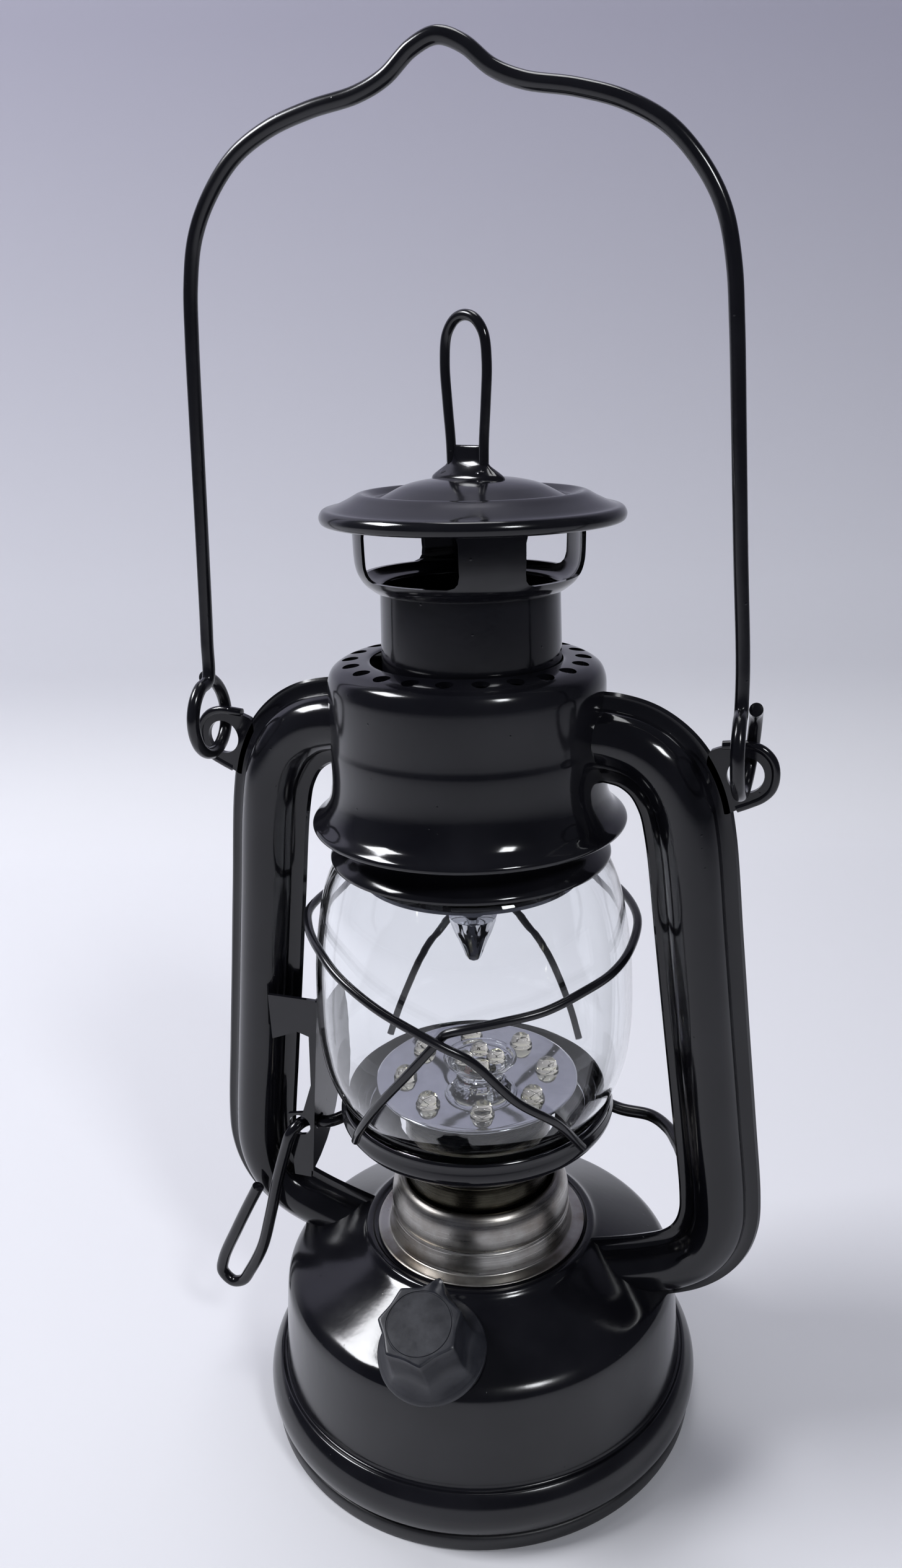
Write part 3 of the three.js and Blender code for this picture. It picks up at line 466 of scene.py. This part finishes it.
# The other one passes outside it in one smooth arch.
SMOOTH_HALF = [
    (-30, 35.8, 94.6), (-45, 38.9, 106.6), (-60, 40.2, 115.8), (-73.2, 41.2, 127), (-81, 41.3, 130.2),
    (-88, 40.8, 132.4), (-102.5, 39.8, 135.9), (-119, 38.9, 139.4), (-132, 38.2, 141.8),
    (-150, 37.8, 142.8),
]
guard_a = BENT_HALF + [(13, 37.8, 142)] + [(13 + a, r, z) for a, r, z in REAR_HALF]
guard_b = SMOOTH_HALF + [(-167, 37.8, 143)] + [(-167 - a, r, z) for a, r, z in REAR_HALF]
for name, node, route in (("guard_a", "guard_wire_a", guard_a), ("guard_b", "guard_wire_b", guard_b)):
    new_object(name, *sweep(around_axis(route), 1, sides=18), "globe_carriage", WIRE,
               replaces=[node], slot="black_wire")

# ---------------------------------------------------------------- top plate and reflectors
plate_profile = [
    (14, 168.3), (23.6, 167.6), (26.6, 165), (28.2, 161.6), (30.6, 159.4), (31.6, 158.3), (31.4, 157.3),
    (30.4, 158), (27.4, 161), (25.8, 164.4), (23.2, 166.7), (14, 167.4),
]
new_object("top_plate", *turned(plate_profile, segments=160), "hood_group", ENAMEL,
           replaces=["globe_top_plate"], slot="black_enamel")
reflector_profile = [(0, 150.2), (14, 151), (25.6, 152.4), (25, 153.4), (0, 151.2)]
new_object("reflector", *turned(reflector_profile, closed=False, segments=128, rounds=1),
           "hood_group", MIRROR,
           replaces=["reflector_disc"], slot="mirror_tin")


def cone_facets(a, z):
    return 1 - 0.06 * abs(math.sin(a * 6)) if z < 140.5 else 1


cone_profile = [
    (0, 129.7), (1.3, 130), (2, 131.2), (5.6, 140.2), (5.6, 141.2), (2, 141.6), (2, 149.9), (0, 149.9),
]
new_object("cone", *turned(cone_profile, closed=False, segments=96, rounds=1, wobble=cone_facets),
           "hood_group", MIRROR,
           smooth_angle=18, replaces=["reflector_cone"], slot="mirror_tin")


# ---------------------------------------------------------------- cutting holes
def cut(obj, cutters, smooth_angle=30):
    """Cuts closed (verts, faces) shapes out of a piece and keeps the result as plain mesh."""
    for verts, faces in cutters:
        mesh = bpy.data.meshes.new("cutter")
        mesh.from_pydata([tuple(v) for v in verts], [], faces)
        bm = bmesh.new()
        bm.from_mesh(mesh)
        bmesh.ops.recalc_face_normals(bm, faces=bm.faces)
        bm.to_mesh(mesh)
        bm.free()
        tool = bpy.data.objects.new("cutter", mesh)
        bpy.context.scene.collection.objects.link(tool)
        change = obj.modifiers.new("cut", "BOOLEAN")
        change.operation = "DIFFERENCE"
        change.solver = "EXACT"
        change.object = tool
        bpy.context.view_layer.update()
        evaluated = obj.evaluated_get(bpy.context.evaluated_depsgraph_get())
        result = bpy.data.meshes.new_from_object(evaluated)
        obj.modifiers.clear()
        obj.data = result
        bpy.data.objects.remove(tool)
    tidy_mesh(obj, smooth_angle)


def prism(outline, low, high, place):
    """A closed prism: a flat outline pushed from low to high, with place turning it into the row frame."""
    count = len(outline)
    verts = [place @ (Vector((x, y, h)) * MM) for h in (low, high) for x, y in outline]
    faces = [tuple(range(count - 1, -1, -1)), tuple(range(count, 2 * count))]
    faces += [(i, (i + 1) % count, (i + 1) % count + count, i + count) for i in range(count)]
    return verts, faces


def ring_outline(radius, sides):
    return [(radius * math.cos(i / sides * TAU), radius * math.sin(i / sides * TAU)) for i in range(sides)]


# ---------------------------------------------------------------- air chamber
chamber_profile = [
    (20.4, 201.2), (24.5, 201.0), (26.6, 200.6), (28.6, 199.3), (29.4, 197.4), (29.6, 195.4),
    (29.5, 184.8), (29.8, 183.0), (29.9, 176), (30.5, 171.8), (32.2, 168.6), (34.5, 166.9),
    (34.9, 166.2), (34.6, 165.4), (33.9, 165.7), (32, 167.3), (29.7, 171.3), (29.1, 175.8), (29, 183),
    (28.7, 184.6), (28.7, 195), (28.5, 197.2), (27.9, 198.6), (26.3, 199.8), (20.4, 200.3),
]
chamber = new_object("chamber", *turned(chamber_profile, segments=176), "frame", ENAMEL,
                     replaces=["air_chamber"], slot="black_enamel")
VENT_COUNT, VENT_RADIUS, VENT_RING_RADIUS = 22, 1.8, 24.6
vents = []
for i in range(VENT_COUNT):
    angle = i / VENT_COUNT * TAU
    place = Vector((VENT_RING_RADIUS * math.cos(angle), VENT_RING_RADIUS * math.sin(angle), 0))
    spot = Matrix.Translation(place * MM)
    vents.append(prism(ring_outline(VENT_RADIUS, 20), 196.5, 204, spot))
all_verts, all_faces = [], []
for verts, faces in vents:
    all_faces += [tuple(i + len(all_verts) for i in face) for face in faces]
    all_verts += verts
cut(chamber, [(all_verts, all_faces)])

# ---------------------------------------------------------------- chimney, basket and hood
SHIFT = (1.2, 0, 0)  # the chimney sits a little to one side in its loose guide
chimney_profile = [(18.7, 215.3), (17.9, 215.3), (18.6, 168.6), (19.4, 168.6)]
new_object("chimney", *turned(chimney_profile, segments=128, rounds=1, shift=SHIFT), "hood_group", ENAMEL,
           replaces=["chimney_tube"], slot="black_enamel")
basket_profile = [
    (22.2, 231.8), (23.5, 229.6), (23.5, 221.5), (23.0, 219), (21.8, 217), (20.4, 215.9),
    (19.4, 215.2), (18.2, 215.2), (18.2, 216.2), (20, 216.7), (21.3, 217.8), (22.3, 219.4),
    (22.7, 221.6), (22.7, 229.4), (21.4, 231.4),
]
basket = new_object("basket", *turned(basket_profile, segments=160, shift=SHIFT), "hood_group", ENAMEL,
                    replaces=["hood_basket"], slot="black_enamel")
window = [
    (-11.4, 2.6), (-11, 1.2), (-10.2, 0.4), (-8.8, 0), (8.8, 0), (10.2, 0.4), (11, 1.2), (11.4, 2.6),
    (11.4, 8.2), (11, 9.6), (10.2, 10.4), (8.8, 10.8), (-8.8, 10.8), (-10.2, 10.4), (-11, 9.6),
    (-11.4, 8.2),
]
WINDOW_COUNT, WINDOW_Z, PILLAR_AT = 4, 218.2, -61
for i in range(WINDOW_COUNT):
    angle = math.radians(PILLAR_AT + 45) + i / WINDOW_COUNT * TAU
    facing = Matrix.Translation(Vector((*SHIFT[:2], WINDOW_Z)) * MM) @ Matrix.Rotation(angle, 4, "Z")
    facing = facing @ Matrix(((0, 0, 1, 0), (1, 0, 0, 0), (0, 1, 0, 0), (0, 0, 0, 1)))
    cut(basket, [prism(window, 15, 28, facing)])
hood_profile = [
    (0, 236.8), (8, 236.4), (13.4, 235.4), (17.2, 233.6), (18.6, 233.0), (19.7, 232.9), (20.9, 233.6),
    (22, 234.1), (23, 233.9), (25, 232.8), (28.4, 231.3), (30, 231.2), (30.8, 229.9), (30.5, 228.7),
    (29.6, 228.3), (28.6, 229), (28, 230), (26.2, 230.5), (22.4, 232.9), (19.6, 231.9), (17, 232.4),
    (12.8, 234.6), (0, 236),
]
HOOD_SHIFT = (2.1, 0, 0)  # and the hood a little further
new_object("hood_shell", *turned(hood_profile, closed=False, segments=176, shift=HOOD_SHIFT),
           "hood_group", ENAMEL,
           replaces=["hood"], slot="black_enamel")


LOOP_TURN = -23


def lean(points, turn):
    """Points of the loop's plane, turned about the chimney's axis."""
    spun = Matrix.Rotation(math.radians(turn), 3, "Z")
    return [spun @ Vector(p) + Vector(SHIFT) for p in points]


loop_half = [(4.2, 236.2), (4.2, 239), (4.3, 243), (4.9, 250), (5.3, 257), (4.6, 261.8), (2.5, 264.3)]
loop_points = [(-x, 0, z) for x, z in loop_half] + [(0, 0, 265)] + [(x, 0, z) for x, z in reversed(loop_half)]
new_object("lift_loop", *sweep(lean(loop_points, LOOP_TURN), 1, sides=18), "hood_group", WIRE,
           replaces=["finger_loop"], slot="black_wire")


def loft(levels):
    """Ovals stacked up the loop's plane, from (height, half width, half depth)."""
    verts, faces, sides = [], [], 40
    for z, half_width, half_depth in levels:
        ring = [
            (half_width * math.cos(k / sides * TAU), half_depth * math.sin(k / sides * TAU), z)
            for k in range(sides)
        ]
        verts += [p * MM for p in lean(ring, LOOP_TURN)]
    for i in range(len(levels) - 1):
        for k in range(sides):
            n = (k + 1) % sides
            faces.append((i * sides + k, i * sides + n, (i + 1) * sides + n, (i + 1) * sides + k))
    faces.append(tuple(range(sides - 1, -1, -1)))
    last = (len(levels) - 1) * sides
    faces.append(tuple(range(last, last + sides)))
    return verts, faces


# The web between the loop's legs flares into two thin feet on the hood.
new_object("loop_web", *loft([
    (235.6, 9.4, 3.8), (236.6, 9, 3.6), (237.1, 8.4, 3.1), (237.6, 7.6, 2.6), (238.6, 5.8, 1.7),
    (239.4, 5, 1.1), (240.4, 4.6, 0.8), (241.6, 4.3, 0.65), (242.2, 4.0, 0.55), (242.4, 3.6, 0.3),
]), "hood_group", ENAMEL, smooth_angle=50, replaces=["loop_strap"], slot="black_enamel")


def lump(name, centre, size, body, turn):
    """A lump of solder: a low uneven drop."""
    verts, faces, rings, sides = [], [], 12, 28
    spun = Matrix.Rotation(math.radians(turn), 3, "Z")
    for i in range(1, rings):
        b = i / rings * math.pi
        for k in range(sides):
            a = k / sides * TAU
            uneven = 1 + 0.07 * math.sin(3 * a + b * 2 + centre[0]) + 0.05 * math.sin(5 * a - b + centre[1])
            p = Vector((
                math.sin(b) * math.cos(a) * size[0] * uneven,
                math.sin(b) * math.sin(a) * size[1] * uneven,
                math.cos(b) * size[2],
            ))
            verts.append((spun @ p + Vector(centre)) * MM)
    top, bottom = len(verts), len(verts) + 1
    verts += [Vector((centre[0], centre[1], centre[2] + size[2])) * MM]
    verts += [Vector((centre[0], centre[1], centre[2] - size[2])) * MM]
    for i in range(rings - 2):
        for k in range(sides):
            n = (k + 1) % sides
            faces.append((i * sides + k, (i + 1) * sides + k, (i + 1) * sides + n, i * sides + n))
    for k in range(sides):
        n = (k + 1) % sides
        faces.append((k, n, top))
        faces.append(((rings - 2) * sides + n, (rings - 2) * sides + k, bottom))
    return new_object(name, verts, faces, body, ENAMEL, smooth_angle=60, slot="black_enamel")


for word, x in (("left", -4.4), ("right", 4.6)):
    spot = lean([(x, -0.6, 236.9)], LOOP_TURN)[0]
    lump(f"loop_solder_{word}", spot, (2.3, 1.9, 1.3), "hood_group", LOOP_TURN)

# ---------------------------------------------------------------- side tubes
TUBE_CENTRE = [
    (22, 186), (31, 185.6), (37.5, 184), (43, 180), (46.8, 173.8), (48.9, 166), (52.2, 142),
    (55.4, 118), (58.4, 96), (61.2, 74.5), (61.4, 67.5), (60.1, 61.5), (57.3, 56.6), (52.8, 52.6),
    (46, 49.4), (38, 46.6), (30, 44.2), (25, 42.6),
]


def tube_section():
    """Half shells of a pressed tube that meet in flat seam flanges: (across, in plane) points."""
    half = [(0.7, 9.2), (0.7, 7.9), (1.1, 7.0)]
    for i in range(19):
        a = math.radians(12 + 156 * i / 18)
        half.append((7 * math.sin(a), 6.6 * math.cos(a)))
    half += [(1.1, -7.0), (0.7, -7.9), (0.7, -9.2), (0.35, -9.7)]
    return half + [(-d, -w) for d, w in half]


def side_tube(side):
    path = catmull([(side * x, 0, z) for x, z in TUBE_CENTRE], 8)
    kept = [
        p for p in path
        if not (p.z > 150 and abs(p.x) < 29.4)
    ]
    section = tube_section()
    verts, faces = [], []
    for i, p in enumerate(kept):
        ahead, behind = kept[min(i + 1, len(kept) - 1)], kept[max(i - 1, 0)]
        tangent = (ahead - behind).normalized()
        across = Vector((0, 1, 0))
        in_plane = across.cross(tangent)
        for d, w in section:
            verts.append((p + across * d + in_plane * w) * MM)
    count = len(section)
    for i in range(len(kept) - 1):
        for k in range(count):
            m = (k + 1) % count
            faces.append((i * count + k, i * count + m, (i + 1) * count + m, (i + 1) * count + k))
    # The top end is fitted to the chamber's wall.
    for k in range(count):
        point = verts[k]
        reach = math.sqrt(max(0, 28.9**2 - (point.y / MM) ** 2))
        verts[k] = Vector((side * reach * MM, point.y, point.z))
    faces.append(tuple(range(count - 1, -1, -1)))
    last = (len(kept) - 1) * count
    faces.append(tuple(range(last, last + count)))
    return verts, faces


def ear(side):
    """A plate with a beaded rim and a hole, standing out from the tube's shoulder."""
    outline = [
        (51.2, 184.2), (54.5, 185.6), (57.5, 186.1), (60.2, 186.4), (63, 185.6), (65.2, 183.4),
        (66.1, 180.2), (65.6, 176.9), (63.7, 174.6), (61, 173.4), (58.2, 172.4), (55.8, 170.8),
        (52.4, 174.5),
    ]
    outline = soften([(side * x, z) for x, z in outline], True, 2)
    flat = Matrix(((1, 0, 0, 0), (0, 0, -1, 0), (0, 1, 0, 0), (0, 0, 0, 1)))
    return prism(outline, -0.7, 0.7, flat)


EAR_HOLE = 3.8
EAR_RIM = [
    (54.5, 185.7), (57.5, 186.0), (60.2, 186.0), (62.8, 185.1), (64.8, 183.0), (65.5, 180.1),
    (65, 177.2), (63.3, 175.2), (60.8, 173.8), (58.2, 172.6),
]
for side, word in ((-1, "left"), (1, "right")):
    new_object(f"tube_{word}", *side_tube(side), "frame", ENAMEL, smooth_angle=32,
               replaces=[f"side_tube_{word}"], slot="black_enamel")
    plate = new_object(f"ear_{word}", *ear(side), "frame", ENAMEL, slot="black_enamel")
    flat = Matrix(((1, 0, 0, 0), (0, 0, -1, 0), (0, 1, 0, 0), (0, 0, 0, 1)))
    spot = Matrix.Translation(Vector((side * 59.6, 0, 179.9)) * MM) @ flat
    cut(plate, [prism(ring_outline(EAR_HOLE, 32), -4, 4, spot)])
    rim = [(side * x, 0, z) for x, z in EAR_RIM]
    new_object(f"ear_rim_{word}", *sweep(rim, 1, sides=14), "frame", ENAMEL,
               slot="black_enamel")

# ---------------------------------------------------------------- bail
BAIL_HALF = [
    (57.9, 203), (56, 224), (54.2, 245), (52.7, 262), (51.6, 271), (49.6, 278.6), (46, 284.8),
    (40, 291), (32.5, 295), (24, 297.4), (15, 299), (9.6, 301.1), (4.6, 304.7),
]
PIVOT_Y, PIVOT_Z = -5.5, 186.2


def bail_y(z):
    return PIVOT_Y - (z - PIVOT_Z) / (306.2 - PIVOT_Z) * 2.6


def eye(side):
    points = []
    for i in range(15):
        t = 1 - i / 14
        a = math.radians(98 + 340 * t)
        points.append((side * (58.3 + 2.6 * t), PIVOT_Y + 8.4 * math.cos(a), PIVOT_Z + 8.4 * math.sin(a)))
    return points


bail_points = eye(-1) + [(-x, bail_y(z), z) for x, z in BAIL_HALF] + [(0, bail_y(306.2), 306.2)]
bail_points += [(x, bail_y(z), z) for x, z in reversed(BAIL_HALF)] + list(reversed(eye(1)))
new_object("bail_wire", *sweep(bail_points, 1.4, sides=22, per_span=9), "bail", WIRE,
           replaces=["bail_handle"], slot="black_wire")

# ---------------------------------------------------------------- crank
crank_left, crank_right = Vector((-42.6, -5, 80)), Vector((55, 3.2, 79.6))
crank_axis = (crank_right - crank_left).normalized()
crank_points = [
    (-58.9, -10.4, 59.2), (-62.7, -10.4, 52), (-66.9, -10.4, 43.7), (-72.6, -10.4, 31.6),
    (-73.4, -10.4, 27), (-70.6, -10.4, 24.2), (-67.4, -10.4, 25.2), (-64.7, -10.4, 29.2),
    (-59.8, -10.4, 38.8), (-56.2, -10.4, 50.3), (-52.6, -10.4, 63.3), (-49.2, -10.4, 73.9),
    (-47.6, -10.3, 78.2), (-46.2, -8.6, 80), (-44.8, -5.8, 80.1),
    crank_left, crank_left + crank_axis * 3.2, (-36.2, -1.5, 80.2), (-32, 7, 81), (-25, 17, 83.2),
    (-14, 22.8, 84.6), (0, 24.2, 84.6), (14, 23.9, 84.2), (24, 23, 81.8), (32, 22.2, 79.6),
    (40.4, 21.8, 79.2),
    (45.8, 17, 79.3), (49.2, 10.8, 79.4), (52, 5, 79.5), crank_right, crank_right + crank_axis * 4,
]
new_object("crank_wire", *sweep(crank_points, 1.6, sides=20, per_span=8), "crank", WIRE,
           replaces=["lift_crank"], slot="black_wire")

# ---------------------------------------------------------------- knob
KNOB_AXIS_RADIUS = 42
KNOB_TURN = math.radians(2)
KNOB_PLACE = (
    Matrix.Rotation(KNOB_TURN, 4, "Z")
    @ Matrix.Translation(Vector((0, -KNOB_AXIS_RADIUS, dome_z(KNOB_AXIS_RADIUS))) * MM)
    @ Matrix.Rotation(math.atan(DOME_SLOPE), 4, "X")
)
KNOB_FLUTES = 7
POINTER = math.radians(80)


def knob_mesh():
    """A fluted grip that flares into a skirt. The pointer is one longer flute, with a dimple in its top."""
    steps = 210
    rows = [
        (0.5, 13.0, 0.0), (1.0, 13.0, 0.05), (1.5, 12.8, 0.1), (1.9, 12.3, 0.15), (2.2, 12.1, 0.2),
        (2.8, 11.6, 0.35), (4.2, 10.7, 0.7), (6.4, 10.2, 1.0), (10.6, 10.0, 1.0), (14.6, 9.85, 1.0),
        (16.8, 9.8, 1.0), (17.25, 9.7, 1.0), (17.47, 9.35, 1.0), (17.5, 8.9, 0.8), (17.5, 7.75, 0.1),
        (17.32, 7.6, 0.0), (17.32, 7.4, 0.0), (17.5, 7.25, 0.0), (17.5, 3.0, 0.0),
    ]
    verts, faces = [], []
    for z, radius, share in rows:
        for k in range(steps):
            a = k / steps * TAU
            flute = 1.25 * abs(math.sin(KNOB_FLUTES / 2 * (a - POINTER)))
            off = abs((a - POINTER + math.pi) % TAU - math.pi)
            pointer = 1.7 * math.exp(-((off / 0.2) ** 2))
            r = min(13, radius - share * flute + (share * pointer if z > 4 else 0))
            top = 0.45 * math.exp(-((off / 0.09) ** 2)) if 8.8 < radius < 9.8 and z > 17.3 else 0
            verts.append(KNOB_PLACE @ (Vector((r * math.cos(a), r * math.sin(a), z - top)) * MM))
    for row in range(len(rows) - 1):
        for k in range(steps):
            n = (k + 1) % steps
            faces.append((row * steps + k, row * steps + n, (row + 1) * steps + n, (row + 1) * steps + k))
    top = (len(rows) - 1) * steps
    faces.append(tuple(range(top, top + steps)))
    faces.append(tuple(range(steps - 1, -1, -1)))
    return verts, faces


new_object("knob", *knob_mesh(), "dimmer", KNOB_PLASTIC, smooth_angle=40,
           replaces=["dimmer_knob"], slot="knob_plastic")

# ---------------------------------------------------------------- CAD nodes that keep their shape
for node, look in {
    "crank_bracket": ENAMEL, "battery_cover": BASE_PLASTIC, "battery_cradle": BASE_PLASTIC,
    "dimmer_pot": NECK, "dimmer_shaft": STEEL, "driver_board": BOARD, "battery_cell_1": CELL,
    "battery_cell_2": CELL, "contact_link": STEEL, "contact_plate_1": STEEL, "contact_plate_2": STEEL,
    "lamp_lead_red": RED_LEAD, "lamp_lead_black": BLACK_LEAD, "base_screw_1": STEEL,
    "base_screw_2": STEEL, "base_screw_3": STEEL, "disc_strap_1": STEEL, "disc_strap_2": STEEL,
    "disc_strap_3": STEEL,
}.items():
    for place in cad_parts[node].material_slots:
        place.material = look


# The spring rises with the hood; the chamber holds its top.
spring = bpy.data.objects.new("spring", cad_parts["chimney_spring"].data.copy())
bpy.context.scene.collection.objects.link(spring)
dress(spring, "hood_group", STEEL, 35, ["chimney_spring"])
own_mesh(spring)


# ---------------------------------------------------------------- stage
def stage_floor():
    """A floor that curves up into a wall behind the lantern. The wall's colour darkens upwards: painted shade
    for the lights' falloff with height.
    """
    profile = [(-1.6, 0.0), (0.40, 0.0)]
    for i in range(1, 13):
        a = i / 12 * math.pi / 2
        profile.append((0.40 + 0.09 * math.sin(a), 0.09 - 0.09 * math.cos(a)))
    profile += [(0.49, 0.3), (0.49, 0.6), (0.49, 1.4)]
    turn = Matrix.Rotation(math.radians(18.5), 3, "Z")
    verts, faces = [], []
    for y, z in profile:
        for x in (-2.2, 2.2):
            verts.append(turn @ Vector((x, y, z)))
    for i in range(len(profile) - 1):
        faces.append((2 * i, 2 * i + 1, 2 * i + 3, 2 * i + 2))
    mesh = bpy.data.meshes.new("floor")
    mesh.from_pydata([tuple(v) for v in verts], [], faces)
    floor = bpy.data.objects.new("floor", mesh)
    bpy.context.scene.collection.objects.link(floor)
    for polygon in mesh.polygons:
        polygon.use_smooth = True
    mat, nodes, links, shader, place = material("floor", (0.8, 0.8, 0.84), 0.7)
    split = nodes.new("ShaderNodeSeparateXYZ")
    links.new(place, split.inputs["Vector"])
    # Painted shade: the base colour darkens with height, standing in for the light falling off up the wall.
    painted_wall_shade = ramp(nodes, links, split.outputs["Z"], [(0.0, (0.82, 0.82, 0.85)), (0.14, (0.76, 0.76, 0.81)),
                                                    (0.42, (0.42, 0.41, 0.50))])
    links.new(painted_wall_shade, shader.inputs["Base Color"])
    mesh.materials.append(mat)


stage_floor()


def area_light(name, location, target, size, power, color):
    data = bpy.data.lights.new(name, "AREA")
    data.shape = "RECTANGLE"
    data.size, data.size_y = size
    data.energy = power
    data.color = color
    light = bpy.data.objects.new(name, data)
    bpy.context.scene.collection.objects.link(light)
    light.location = location
    direction = Vector(target) - Vector(location)
    light.rotation_euler = direction.to_track_quat("-Z", "Y").to_euler()


area_light("key", (-0.75, -0.25, 1.0), (0, 0, 0.05), (0.4, 0.3), 10, (0.95, 0.96, 1.0))
area_light("fill", (0.6, -0.5, 0.85), (0, 0, 0.1), (0.16, 0.2), 3, (0.95, 0.97, 1.0))
area_light("top", (-0.1, 0.25, 1.3), (0, 0.3, 0), (0.5, 0.4), 3.6, (0.97, 0.98, 1.0))
world = bpy.data.worlds.new("world")
bpy.context.scene.world = world
world.use_nodes = True
world.node_tree.nodes["Background"].inputs["Color"].default_value = (0.6, 0.63, 0.8, 1)
world.node_tree.nodes["Background"].inputs["Strength"].default_value = 0.1
bpy.context.scene.view_settings.view_transform = "Standard"
